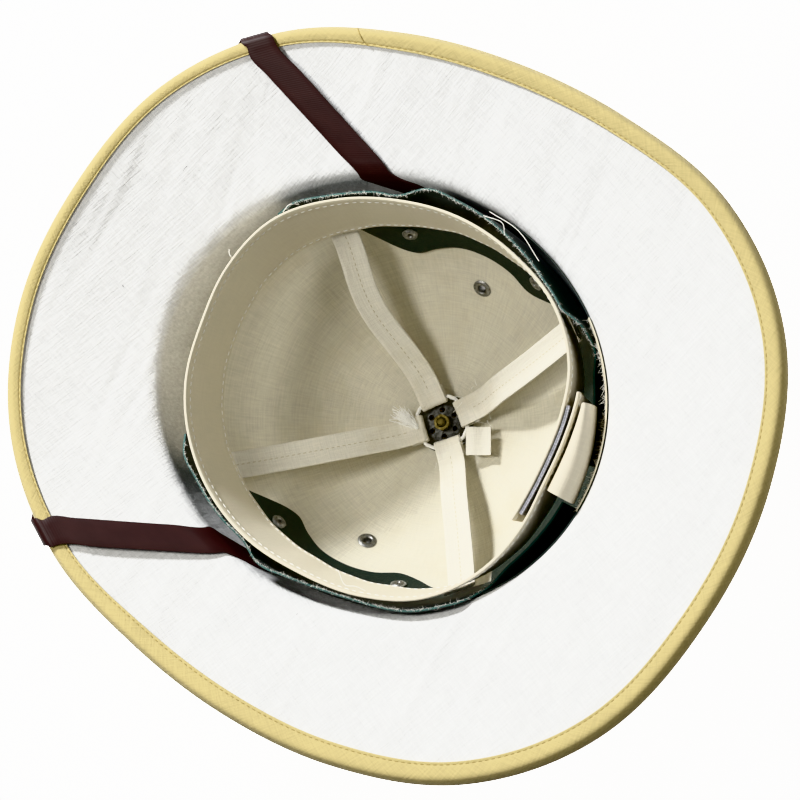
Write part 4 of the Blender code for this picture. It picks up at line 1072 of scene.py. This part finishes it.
def against_wall(azimuth, low, high, lift, thickness, count=14):
    """A ribbon that lies on the crown's wall from its low edge to its high edge."""
    shares = np.linspace(0, 1, count)
    sections = []
    for turn, foot, top in zip(azimuth, np.broadcast_to(low, azimuth.shape),
                               np.broadcast_to(high, azimuth.shape)):
        heights = foot + (top - foot) * shares
        reach = lined_reach(turn, heights)
        slope = np.hypot(1.0, np.gradient(reach, heights))
        near, far = reach - (lift + thickness) * slope, reach - lift * slope
        sections.append(at_azimuth(turn, np.concatenate([near, far[::-1]]),
                                   np.concatenate([heights, heights[::-1]])))
    return np.array(sections)


class HELMET_OT_leathers(bpy.types.Operator):
    """Scalloped dark green leather pieces between the band and the crown."""

    bl_idname = "helmet.leathers"
    bl_label = "Leather pieces"

    def execute(self, context):
        trim = context.scene.helmet_trim
        green = split_leather("split leather, dark green", trim.leather, linear("#16281F"))
        raw = woven_cotton("cotton, raw torn edge", linear("#D8D0B8"), 0.7, tone=0.12)
        white = woven_cotton("cotton thread ends, white", linear("#F3F1E8"), 0.5)
        frays = []
        edge = split_leather("split leather, cut edge", trim.cut_edge, linear("#0F2420"), 0.2)
        for side in ("left", "right"):
            sections = leather_sections(side, 170)
            corners = sections.shape[1]
            points, faces, uv, finish_of = carried(sections, edges=(corners // 2 - 1, corners - 1))
            piece = place_piece(f"leather_{side}_piece", points, faces, [green, edge],
                                "green_leather", [f"leather_{side}"], uv, finish_of)
            drill_out(piece, shell_drills())
            ridge = sections[:, corners // 2 - 1]
            run = np.random.default_rng(7).uniform(3, 135, EDGE_FIBRES)
            low = np.floor(run).astype(int)
            roots = ridge[low] + (ridge[low + 1] - ridge[low]) * (run - low)[:, None]
            frays.append(fibres(roots, *EDGE_FIBRE, 11, 0.8))

        # Dark leather sheet on the wall behind the band at the back: painted shade that darkens the
        # gap between band and wall.
        first, last, top, lift, thickness = BACK_SHADE_PLY
        azimuth = np.linspace(first, last, 180)
        deep = np.minimum(37.0 + 20.0 * ((azimuth - 94.0) / 42.0) ** 2, 96.0)
        top = top - 2.5 * ease((azimuth - 125.0) / 30.0) - 2.5 * ease((64.0 - azimuth) / 14.0)
        sections = against_wall(azimuth, deep, top, lift, thickness, 30)
        place_swept("dark_back_ply_shade", sections, green, "green_leather")

        first, last, top, lift, thickness = RAW_HEM
        azimuth = np.linspace(first, last, 260)
        ragged = np.random.default_rng(5).normal(size=azimuth.size) * 0.25
        low = 114.8 + 0.5 * np.sin(azimuth * 1.7) + ragged
        sections = against_wall(azimuth, low, top, lift, thickness)
        place_swept("raw_hem", sections, raw, "cream_cotton")
        hem = at_azimuth(azimuth, [lined_reach(turn, 115.0) - 1.4 for turn in azimuth], low)
        frays.append(fibres(np.repeat(hem[::2], 2, axis=0), *HEM_FIBRE, 13, 0.6))
        for route in LOOSE_THREADS:
            frays.append(loose_thread([at_azimuth(*spot) for spot in route], LOOSE_THREAD_RADIUS))
        place_piece("leather_fibres", *joined(frays), [white], "tape_cotton")
        return {"FINISHED"}


# ---------------- tapes and cord
def tape_frames(band_azimuth, ring_azimuth, bow, steps):
    """Points and normals along a tape, from behind the band to its loop on the cord."""
    cord_height = DISC_TOP + 2 * GAP + TAPE_THICKNESS + CORD_RADIUS
    bend = CORD_RADIUS + GAP + TAPE_THICKNESS / 2
    across = (band_azimuth - 4.5, band_azimuth, band_azimuth + 4.5)
    clear = GAP + TAPE_THICKNESS / 2 + 0.2
    deep = max(band_outer_radius(azimuth, BAND_BOTTOM) for azimuth in across)
    high = max(band_outer_radius(azimuth, BAND_BOTTOM + 9) for azimuth in across)
    slope = [(high + clear, BAND_BOTTOM + 9), (deep + clear + 0.1, BAND_BOTTOM + 0.5),
             (deep - 1.0, BAND_BOTTOM - 3.0), (deep - 12, BAND_BOTTOM - 13.6),
             (deep - 30, BAND_BOTTOM - 29.4), (deep - 48, BAND_BOTTOM - 43.8),
             (22.0, cord_height + 4.6), (CORD_REACH + 2.4, cord_height + bend + 0.2)]
    line = smooth_path(slope, steps)
    loop = np.radians(np.linspace(90, 270, 16))
    turn = np.column_stack([CORD_REACH + bend * np.cos(loop), cord_height + bend * np.sin(loop)])
    tail = [(CORD_REACH + 1.5, cord_height - bend), (CORD_REACH + 3, cord_height - bend),
            (14.6, cord_height - bend + 0.1), (TAPE_TAIL_REACH, cord_height - bend + 0.4)]
    line = np.concatenate([line, turn, tail])
    way = np.clip((line[:, 0] - TAPE_TAIL_REACH) / (deep - TAPE_TAIL_REACH), 0.0, 1.0)
    azimuth = (ring_azimuth + (band_azimuth - ring_azimuth) * way
               + bow * np.sin(np.pi * way) ** 2)
    step = np.gradient(line, axis=0)
    return at_azimuth(azimuth, line[:, 0], line[:, 1]), at_azimuth(azimuth, step[:, 1], -step[:, 0])


def flat_ribbon(points, normals, section, width, thickness, laid_along=None):
    """Sections of a flat ribbon: its section's corners are shares of half its width and height."""
    along = unit(np.gradient(points, axis=0))
    across = unit(np.cross(along, normals))
    if laid_along is not None:
        share = np.linalg.norm(laid_along, axis=1, keepdims=True)
        same_way = np.sign(np.sum(laid_along * across, axis=1, keepdims=True))
        across = unit((1 - share) * across + same_way * laid_along)
    slant = np.sum(across * along, axis=1, keepdims=True)
    side = across / np.sqrt(1 - slant ** 2) * np.broadcast_to(width, (len(points), 1)) / 2
    lift = unit(np.cross(across, along)) * thickness / 2
    section = np.asarray(section, float)
    return (points[:, None] + section[None, :, :1] * side[:, None]
            + section[None, :, 1:] * lift[:, None])


FOLDED_TAPE = [
    (-0.93, 0.0), (-0.97, 0.2), (-1.0, 0.55), (-0.97, 0.9), (-0.9, 1.0), (-0.72, 1.0), (-0.68, 0.8),
    (-0.16, 0.85), (0.0, 0.55), (0.16, 0.85), (0.68, 0.8), (0.72, 1.0), (0.9, 1.0), (0.97, 0.9),
    (1.0, 0.55), (0.97, 0.2),
    (0.93, 0.0), (0.97, -0.2), (1.0, -0.55), (0.97, -0.9), (0.9, -1.0), (0.5, -1.0),
    (0.16, -0.95), (0.0, -0.7), (-0.16, -0.95), (-0.5, -1.0), (-0.9, -1.0), (-0.97, -0.9),
    (-1.0, -0.55), (-0.97, -0.2)]


class HELMET_OT_tapes(bpy.types.Operator):
    """Four folded cotton tapes from the band to loops in the middle, each stitched lengthwise."""

    bl_idname = "helmet.tapes"
    bl_label = "Tapes"

    def execute(self, context):
        cloth = context.scene.helmet_cloth
        folded = woven_cotton("cotton tape, folded and pressed", cloth.tape, 0.7, 0.0, tone=0.08,
                              relief_mm=0.4, crease_mm=0.6, stain=linear("#D3C9AE"))
        thread = woven_cotton("cotton sewing thread, grey-white", linear("#C3BA9F"), 0.5, tone=0.03)
        parts = []
        for name, band_azimuth, ring_azimuth, bow in TAPES:
            points, normals = tape_frames(band_azimuth, ring_azimuth, bow, 12)
            sections = flat_ribbon(points, normals, FOLDED_TAPE, TAPE_WIDTH, TAPE_THICKNESS)
            place_swept(f"{name}_folded", sections, folded, "tape_cotton", [name])
            line = sections[8:80, 8]
            parts.append(stitch_threads(line, normals[8:80], TAPE_STITCH_PITCH, *TAPE_STITCH))
        place_piece("tape_stitches", *joined(parts), [thread], "tape_cotton")
        edges = [np.array([at_azimuth(*spot) for spot in edge]) for edge in SPARE_TAPE]
        start, end = (np.concatenate([edge, edge[::-1] + (0, 0, SPARE_TAPE_THICKNESS)])
                      for edge in edges)
        share = np.linspace(0, 1, 12)[:, None, None]
        sections = start + (end - start) * share + np.sin(share * 7) * (0, 0, 0.7)
        place_swept("tape_tail", sections, folded, "tape_cotton")
        return {"FINISHED"}


def cord_path():
    """Closed path of the cord through the tapes' loops, bent round between two."""
    path = []
    ring_azimuths = sorted(ring for _, _, ring, _ in TAPES)
    following = ring_azimuths[1:] + [ring_azimuths[0] + 360]
    for azimuth, after in zip(ring_azimuths, following):
        out, side = at_azimuth(azimuth, 1.0, 0.0), at_azimuth(azimuth + 90, 1.0, 0.0)
        path += [CORD_REACH * out + share * TAPE_WIDTH * side for share in (-0.53, 0.0, 0.53)]
        path.append(at_azimuth((azimuth + after) / 2, CORD_CORNER_REACH, 0.0))
    height = DISC_TOP + 2 * GAP + TAPE_THICKNESS + CORD_RADIUS
    path = np.array(path) + (0, 0, height)
    wrapped = np.concatenate([path[-2:], path, path[:3]])
    return smooth_path(wrapped, 14)[28:-42]


class HELMET_OT_cord(bpy.types.Operator):
    """Twisted white cord that gathers the tapes' loops over the ventilator."""

    bl_idname = "helmet.cord"
    bl_label = "Gathering cord"

    def execute(self, context):
        cotton = woven_cotton("cotton cord, three strands twisted", linear("#FBFAF5"), 0.4,
                              tone=0.04, on_uv=False)
        path = cord_path()
        count = len(path)
        along = unit(np.roll(path, -1, axis=0) - np.roll(path, 1, axis=0))
        across = unit(np.cross(along, (0, 0, 1.0)))
        lift = np.cross(across, along)
        turns, reach, radius = CORD_TWIST
        strands = []
        for k in range(3):
            twist = 2 * np.pi * (turns * np.arange(count) / count + k / 3)
            strands.append(path + reach * (np.cos(twist)[:, None] * across
                                           + np.sin(twist)[:, None] * lift))
        twisted = tubes(np.array(strands), radius, (0, 0, 1.0), 8, True)
        place_piece("gathering_cord", *twisted, [cotton], "tape_cotton", ["tape_cord"])
        stray = np.random.default_rng(4)
        count, radius = TUFT_FIBRES
        ends = at_azimuth(stray.normal(*TUFT_END, count), stray.uniform(16, 25, count), 27.2)
        knot = at_azimuth(stray.normal(*TUFT_KNOT, count), stray.normal(11.5, 0.6, count), 26.6)
        bend = np.array([0.0, 0.0, 1.8]) + stray.normal(size=(count, 3)) * (0.8, 0.8, 0.5)
        paths = np.array([(1 - u) * knot + u * ends + 2 * u * (1 - u) * bend
                          for u in np.linspace(0, 1, 8)]).transpose(1, 0, 2)
        spread = stray.uniform(-1, 1, (4, 4, 2))
        azimuth = np.array(TAPE_FIBRE_AZIMUTHS)[:, None] + 3 * spread[..., 0]
        roots = at_azimuth(azimuth, 19.0 + 6 * spread[..., 1], 26.4)
        frays = [tubes(paths, radius, (0.1, 0.2, 1.0), sides=4),
                 fibres(roots.reshape(-1, 3), *TAPE_FIBRE, 6, 0.3)]
        place_piece("frayed_cord_end", *joined(frays), [cotton], "tape_cotton")
        return {"FINISHED"}


# ---------------- ventilator and fasteners
class HELMET_OT_ventilator(bpy.types.Operator):
    """Ventilator: its cap outside, the perforated disc inside, and the bolt and nut."""

    bl_idname = "helmet.ventilator"
    bl_label = "Ventilator"

    def execute(self, context):
        cloth, trim = context.scene.helmet_cloth, context.scene.helmet_trim
        cover = woven_cotton("cotton drill, khaki, pressed over the cap", cloth.cover, 0.9, 45.0,
                             False, tone=0.08, relief_mm=0.16)
        steel = pressed_metal("steel, pressed and nickelled", trim.steel, linear("#2E2D2A"), 0.5)
        brass = pressed_metal("brass, turned", trim.brass, linear("#3D341C"), 0.45)
        inner = CAP_RADIUS - CAP_WALL
        cap = turned([
            (0, 0), (CAP_FLAT_RADIUS, 0), (18.8, 0.25), (20.4, 1.3), (21.5, 2.7),
            (CAP_RADIUS, 4.6), (CAP_RADIUS, CAP_HEIGHT - 0.4), (CAP_RADIUS - 0.4, CAP_HEIGHT),
            (inner, CAP_HEIGHT), (inner, 5.2), (19.0, 2.5), (16.2, CAP_WALL), (0, CAP_WALL)], 96)
        place_piece("cap", *cap, [cover], "khaki_cover", ["vent_cap"])

        bore = BOLT_RADIUS + GAP
        disc = turned([
            (bore, DISC_TOP), (DISC_RADIUS - 0.9, DISC_TOP), (DISC_RADIUS - 0.3, DISC_TOP - 0.2),
            (DISC_RADIUS, DISC_TOP - 0.6), (DISC_SKIRT_RADIUS, 18.2), (DISC_SKIRT_RADIUS, 17.5),
            (DISC_SKIRT_RADIUS - 1.0, 17.5), (DISC_RADIUS - 1.0, DISC_TOP - DISC_SHEET),
            (bore, DISC_TOP - DISC_SHEET)], 96)
        disc = place_piece("perforated_disc", *disc, [steel], "steel", ["vent_disc"])
        turn = 360 * (np.arange(PERFORATIONS) + 0.5) / PERFORATIONS
        drill_out(disc, [(foot, (0, 0, 1), PERFORATION_RADIUS, 6.0)
                         for foot in at_azimuth(turn, PERFORATION_CIRCLE, DISC_TOP - 3)])

        head = CAP_WALL + GAP
        thread = [(BOLT_RADIUS - 0.22 * (k % 2), z) for k, z in
                  enumerate(np.arange(17.0, BOLT_TOP - 0.6, 0.35))]
        bolt = turned([
            (0, head), (3.4, head), (3.6, head + 0.3), (3.6, head + 2.4), (BOLT_RADIUS, head + 2.4),
            *thread, (BOLT_RADIUS - 0.5, BOLT_TOP - 0.1), (BOLT_RADIUS - 0.9, BOLT_TOP),
            (0, BOLT_TOP)], 40)
        place_piece("bolt", *bolt, [brass], "brass", ["vent_bolt"])

        flat = NUT_ACROSS_FLATS / 2
        corner = flat / np.cos(np.pi / 6)
        seat, top = DISC_TOP + GAP, DISC_TOP + GAP + NUT_HEIGHT
        azimuth = np.arange(96) * 3.75
        hexagon = flat / np.cos(np.radians((azimuth + 30) % 60 - 30))
        outline = [(np.minimum(hexagon, limit), height) for limit, height in (
            (corner - 0.35, seat), (corner, seat + 0.35), (corner, top - 0.35),
            (corner - 0.4, top))]
        outline += [(BOLT_RADIUS + 0.6, top), (BOLT_RADIUS + 0.15, top - 0.4),
                    (BOLT_RADIUS + 0.15, seat)]
        nut = ring_points(azimuth, *zip(*outline))
        place_swept("nut", nut, brass, "brass", ["vent_nut"], True, 25)
        return {"FINISHED"}


class HELMET_OT_fasteners(bpy.types.Operator):
    """Tubular rivets through the leather, and the vent eyelets in the crown's sides."""

    bl_idname = "helmet.fasteners"
    bl_label = "Rivets and eyelets"

    def execute(self, context):
        steel = pressed_metal("steel, pressed and nickelled, small parts", linear("#A3A3A0"),
                              linear("#6A6965"), 0.35)
        pale = woven_cotton("leather torn round a rivet, pale", linear("#8E8F86"), 0.4, on_uv=False)
        torn = []
        wall = CLOTH + GAP + PITH
        for side in ("left", "right"):
            for place, (angle, height) in (("front", FRONT_RIVET), ("back", BACK_RIVET)):
                at, out = lined_spot(side_azimuth(side, angle), height)
                head = -(leather_clearance(angle, height) + LEATHER_THICKNESS / 2 + GAP + 0.35)
                far = wall + GAP + 0.2
                shank, flange = RIVET_SHANK_RADIUS, RIVET_HEAD_RADIUS
                rivet = turned([
                    (0, head + 1.2), (0.75, head + 1.1), (0.85, head - 0.2), (1.1, head - 0.65),
                    (1.5, head - 0.85), (2.1, head - 0.8), (flange - 0.35, head - 0.55),
                    (flange, head - 0.15), (flange, head), (shank, head), (shank, far),
                    (flange, far), (flange, far + 0.2), (flange - 0.5, far + SHEET_METAL),
                    (0, far + SHEET_METAL + 0.15)], 40, at, out)
                place_piece(f"rivet_{place}_{side}_head", *rivet, [steel], "steel",
                            [f"rivet_{place}_{side}"])
                first = unit(np.cross(out, (0, 0, 1.0)))
                second = np.cross(out, first)
                a = np.radians(np.arange(0, 360, 6.0))
                reach = flange + 0.3 + 0.12 * np.sin(5 * a + angle) + 0.06 * np.sin(11 * a)
                torn.append(at + out * (head + 0.05) + reach[:, None] *
                            (np.cos(a)[:, None] * first + np.sin(a)[:, None] * second))
            at, out = lined_spot(side_azimuth(side, EYELET[0]), EYELET[1])
            near, far = -(GAP + 0.2), wall + GAP + 0.1
            bore, tube, flange = EYELET_BORE_RADIUS, EYELET_TUBE_RADIUS, EYELET_FLANGE_RADIUS
            eyelet = turned([
                (bore, near + 0.6), (bore + 0.12, near - 0.1), (bore + 0.5, near - 0.55),
                (bore + 1.0, near - SHEET_METAL), (3.4, near - 0.62), (4.1, near - 0.3),
                (flange, near), (tube, near), (tube, far), (flange, far), (flange - 0.2, far + 0.3),
                (3.2, far + SHEET_METAL), (bore + 0.3, far + 0.5), (bore, far)], 48, at, out)
            place_piece(f"eyelet_{side}_ring", *eyelet, [steel], "steel", [f"eyelet_{side}"])
        rings = tubes(np.array(torn), TORN_RING_RADIUS, (0.1, 0.2, 1.0), closed=True)
        place_piece("torn_rings", *rings, [pale], "green_leather")
        return {"FINISHED"}


# ---------------- chin strap
def skin_point(azimuth, share, offset):
    """Point and outward normal at an offset from the brim's lined face."""
    step = 0.01
    r, z = brim_row(azimuth, share)
    r2, z2 = brim_row(azimuth, share + step)
    length = np.hypot(r2 - r, z2 - z)
    normal_r, normal_z = (z2 - z) / length, -(r2 - r) / length
    point = at_azimuth(azimuth, r + offset * normal_r, z + offset * normal_z)
    return point, at_azimuth(azimuth, normal_r, normal_z)


def rim_direction(azimuth):
    """Direction along the rim, towards greater azimuths."""
    step = 2.0
    return unit(skin_point(azimuth + step, 1.0, 0.0)[0] - skin_point(azimuth - step, 1.0, 0.0)[0])


def strap_inside(end_azimuth, inside_azimuth, corner_azimuth, rim_top):
    """The strap's way from its hidden end up the wall and over the opening's rolled edge."""
    stations = []
    square = np.zeros(3)
    roll_foot = OPENING_HEIGHT - ROLL_REACH
    for height in (STRAP_END_HEIGHT, 95.0, 102.0):
        azimuth = np.interp(height, [STRAP_END_HEIGHT, roll_foot], [end_azimuth, inside_azimuth])
        at, out = lined_spot(azimuth, height)
        stations.append((at - (STRAP_SEAT + WALL_SLACK) * out, -out, square))

    step = 2.0
    before, after = (at_azimuth(a, opening_reach(a), 0.0)
                     for a in (corner_azimuth - step, corner_azimuth + step))
    edge = unit(after - before)
    steps = np.array([0.0, 0.2, 0.4, 0.6, 0.8, 1.0])
    rows = [roll_row(corner_azimuth, u) for u in steps]
    lifted = list(zip(*offset_rows(rows, -(STRAP_SEAT + ROLL_SLACK))))
    top = at_azimuth(corner_azimuth, roll_row(corner_azimuth, 0.5)[0], 0.0)
    straight = np.linspace(top, rim_top, 50)
    reach = np.hypot(straight[:, 0], straight[:, 1])
    heading = np.degrees(np.arctan2(straight[:, 1], straight[:, 0])) % 360
    for u, (r, z), (base_r, base_z) in list(zip(steps, lifted, rows))[1:]:
        azimuth = np.interp(u, [0.0, 0.5], [inside_azimuth, corner_azimuth])
        if u > 0.5:
            azimuth = np.interp(r, reach, heading)
        stations.append((at_azimuth(azimuth, r, z),
                         unit(at_azimuth(azimuth, r - base_r, z - base_z)), edge))
    return stations


def strap_fold(rim_azimuth, way):
    """The strap's turn round the bound rim, from the lined side to the other."""
    lift = STRAP_SEAT + GAP + CLOTH
    over = 2 * lift + CLOTH + GAP + PITH + 2 * RIM_SLACK
    upper, down = skin_point(rim_azimuth, 1.0, -lift - RIM_SLACK)
    lower, _ = skin_point(rim_azimuth, 1.0, over - lift - RIM_SLACK)
    rim = rim_direction(rim_azimuth)
    out = unit(np.cross(down, rim))
    out *= np.sign(out @ upper)
    rim *= np.sign(way @ rim)
    slant = (way @ rim) / (way @ out)
    bulge = RIM_BULGE + GAP + CLOTH + STRAP_SEAT + RIM_SLACK
    stations = []
    for turn in np.linspace(0, 1, STRAP_FOLD_STEPS + 1):
        c, s = np.cos(np.pi * turn), np.sin(np.pi * turn)
        reach = bulge * s ** FOLD_SQUARENESS
        fall = over / 2 * np.sign(c) * abs(c) ** FOLD_SQUARENESS
        across_rim = reach if turn <= 0.5 else 2 * bulge - reach
        lean = slant * across_rim + FOLD_DRIFT * (over / 2 - fall)
        stations.append(((upper + lower) / 2 - down * fall + out * reach + rim * lean,
                         out * s - down * c, rim))
    return stations


def strap_half(azimuths):
    """Half of the strap, from its hidden end up over the roll, the brim's lining and the rim."""
    end_azimuth, inside_azimuth, corner_azimuth, rim_azimuth = azimuths
    rim_top, down = skin_point(rim_azimuth, 0.95, -(STRAP_SEAT + GAP + CLOTH + 2 * RIM_SLACK))
    inside = strap_inside(end_azimuth, inside_azimuth, corner_azimuth, rim_top)
    start, lying, edge = inside[-1]
    fold = strap_fold(rim_azimuth, rim_top - start)
    rim = fold[0][2]
    edge = edge * np.sign(edge @ rim)
    brim_stretch = [(start + (rim_top - start) * share, lying * (1 - share) - down * share,
                     unit(edge * (1 - share) + rim * share)) for share in (0.2, 0.5, 0.8, 1.0)]
    return inside + brim_stretch + fold


def strap_front_run(start, finish):
    """The strap's hidden stretch before the crown, on the side of the brim away from the lining."""
    outside = CLOTH + GAP + PITH + STRAP_SEAT
    stations = []
    for u in np.linspace(0, 1, 15)[1:-1]:
        x = np.interp(u, [0, 1], [start[0], finish[0]])
        y = np.interp(u, [0, 0.42, 0.58, 1], [start[1], STRAP_FRONT, STRAP_FRONT, finish[1]])
        azimuth = np.degrees(np.arctan2(y, x)) % 360
        share = (np.hypot(x, y) - opening_reach(azimuth)) / brim_width(azimuth)
        over_binding = (CLOTH + GAP) * ease((share - 0.64) / 0.1)
        point, normal = skin_point(azimuth, share, outside + over_binding + BRIM_SLACK)
        near_fold = 1 - ease(min(u, 1 - u) / 0.2)
        rim = rim_direction(azimuth) * near_fold
        stations.append((point, normal, rim))
    return stations


ROUNDED_STRAP = [
    (-1.0, -0.2), (-1.0, 0.3), (-0.985, 0.8), (-0.95, 1.0), (-0.5, 1.0), (0.0, 1.0), (0.5, 1.0),
    (0.95, 1.0), (0.985, 0.8), (1.0, 0.3), (1.0, -0.3), (0.985, -0.8), (0.95, -1.0), (0.0, -1.0),
    (-0.95, -1.0), (-0.985, -0.8)]


class HELMET_OT_chin_strap(bpy.types.Operator):
    """Dark brown chin strap: one loop over the opening, the brim, the rim and before the crown."""

    bl_idname = "helmet.chin_strap"
    bl_label = "Chin strap"

    def execute(self, context):
        trim = context.scene.helmet_trim
        brown = ribbed_strap("leather strap, dark brown", trim.strap, linear("#3A2322"))
        left, right = strap_half(STRAP_LEFT), strap_half(STRAP_RIGHT)
        front = strap_front_run(left[-1][0], right[-1][0])
        columns = [np.array(column) for column in zip(*(left + front + right[::-1]))]
        coarse = flat_ribbon(*columns[:2], ROUNDED_STRAP, STRAP_WIDTH, STRAP_THICKNESS, columns[2])
        stride = np.linalg.norm(np.diff(columns[0], axis=0), axis=1)
        run = np.concatenate([[0], np.cumsum(stride)])
        flat = smooth_path(coarse.reshape(len(coarse), -1), 6, run)
        sections = flat.reshape(len(flat), len(ROUNDED_STRAP), 3)
        place_swept("strap", sections, brown, "brown_strap", ["chin_strap"])
        return {"FINISHED"}


# ---------------- stage
LENS_MM = 115.1
CAMERA_PLACE = (-0.0014, 0.34792, 1.16617)
CAMERA_RIGHT = (-0.41493, 0.86532, -0.28116)
CAMERA_UP = (-0.90985, -0.39462, 0.12822)
CAMERA_BACK = (0.0, 0.30902, 0.95106)


class HELMET_OT_stage(bpy.types.Operator):
    """Pale paper floor, soft studio light from the upper left of the view, and the camera."""

    bl_idname = "helmet.stage"
    bl_label = "Floor, lights and camera"

    def execute(self, context):
        settings = context.scene.helmet_stage
        scene = context.scene
        paper, tree, shader = start_material("paper, white and matt")
        grain = noise(tree, add(tree, "TexCoord").outputs["Object"], 300.0, 3.0)
        tree.links.new(relief(tree, grain.outputs[0], 0.1, 0.2), shader.inputs["Normal"])
        shader.inputs["Base Color"].default_value = settings.floor
        shader.inputs["Roughness"].default_value = 0.9
        shader.inputs["Emission Color"].default_value = (1, 1, 1, 1)
        seen = add(tree, "Math", {0: add(tree, "LightPath").outputs["Is Camera Ray"], 1: 4.0},
                   operation="MULTIPLY")
        tree.links.new(seen.outputs[0], shader.inputs["Emission Strength"])
        mesh = bpy.data.meshes.new("floor")
        mesh.from_pydata([(-4, -4, 0), (4, -4, 0), (4, 4, 0), (-4, 4, 0)], [], [(0, 1, 2, 3)])
        mesh.materials.append(paper)
        floor = bpy.data.objects.new("floor", mesh)
        scene.collection.objects.link(floor)

        right, up, back = (np.array(v) for v in (CAMERA_RIGHT, CAMERA_UP, CAMERA_BACK))
        aim = np.array(LIGHTS_AIM)
        powers = (settings.key_watts, settings.side_watts, settings.low_watts)
        for (name, turn, distance, size, tint), watts in zip(LIGHTS, powers):
            way = unit(turn[0] * right + turn[1] * up + turn[2] * back)
            light = bpy.data.lights.new(name, "AREA")
            light.shape = "DISK"
            light.size = size
            light.energy = watts
            light.color = tint
            lamp = bpy.data.objects.new(name, light)
            lamp.location = aim + way * distance
            lamp.rotation_mode = "QUATERNION"
            lamp.rotation_quaternion = Vector(way).to_track_quat("Z", "Y")
            scene.collection.objects.link(lamp)
        world = bpy.data.worlds.new("studio")
        world.use_nodes = True
        world.node_tree.nodes["Background"].inputs["Color"].default_value = (1, 0.98, 0.95, 1)
        world.node_tree.nodes["Background"].inputs["Strength"].default_value = settings.sky
        scene.world = world
        scene.view_settings.view_transform = "Khronos PBR Neutral"

        lens = bpy.data.cameras.new("camera")
        lens.lens = LENS_MM
        lens.sensor_width = 36
        camera = bpy.data.objects.new("camera", lens)
        scene.collection.objects.link(camera)
        turn = Matrix([CAMERA_RIGHT, CAMERA_UP, CAMERA_BACK]).transposed()
        camera.matrix_world = Matrix.Translation(CAMERA_PLACE) @ turn.to_4x4()
        scene.camera = camera
        return {"FINISHED"}


# ---------------- panel and registration
BUILD_ORDER = ("shell", "linings", "binding", "sweatband", "band_trim", "leathers", "tapes",
               "cord", "ventilator", "fasteners", "chin_strap", "stage")


class HELMET_PT_builder(bpy.types.Panel):
    """The helmet's operators and settings."""

    bl_label = "Pith helmet"
    bl_idname = "HELMET_PT_builder"
    bl_space_type = "VIEW_3D"
    bl_region_type = "UI"
    bl_category = "Helmet"

    def draw(self, context):
        for step in BUILD_ORDER:
            self.layout.operator("helmet." + step)
        for group in (context.scene.helmet_cloth, context.scene.helmet_trim,
                      context.scene.helmet_stage):
            box = self.layout.box()
            for key in group.__annotations__:
                box.prop(group, key)


CLASSES = (ClothSettings, TrimSettings, StageSettings, HELMET_OT_shell, HELMET_OT_linings,
           HELMET_OT_binding, HELMET_OT_sweatband, HELMET_OT_band_trim, HELMET_OT_leathers,
           HELMET_OT_tapes, HELMET_OT_cord, HELMET_OT_ventilator, HELMET_OT_fasteners,
           HELMET_OT_chin_strap, HELMET_OT_stage, HELMET_PT_builder)


def register():
    """Registers the classes and hangs the settings on the scene."""
    for cls in CLASSES:
        bpy.utils.register_class(cls)
    bpy.types.Scene.helmet_cloth = bpy.props.PointerProperty(type=ClothSettings)
    bpy.types.Scene.helmet_trim = bpy.props.PointerProperty(type=TrimSettings)
    bpy.types.Scene.helmet_stage = bpy.props.PointerProperty(type=StageSettings)


def unregister():
    """Takes the settings and classes away again."""
    del bpy.types.Scene.helmet_cloth, bpy.types.Scene.helmet_trim, bpy.types.Scene.helmet_stage
    for cls in reversed(CLASSES):
        bpy.utils.unregister_class(cls)


def main():
    """Builds every piece in order."""
    register()
    for step in BUILD_ORDER:
        getattr(bpy.ops.helmet, step)()


if __name__ == "__main__":
    main()
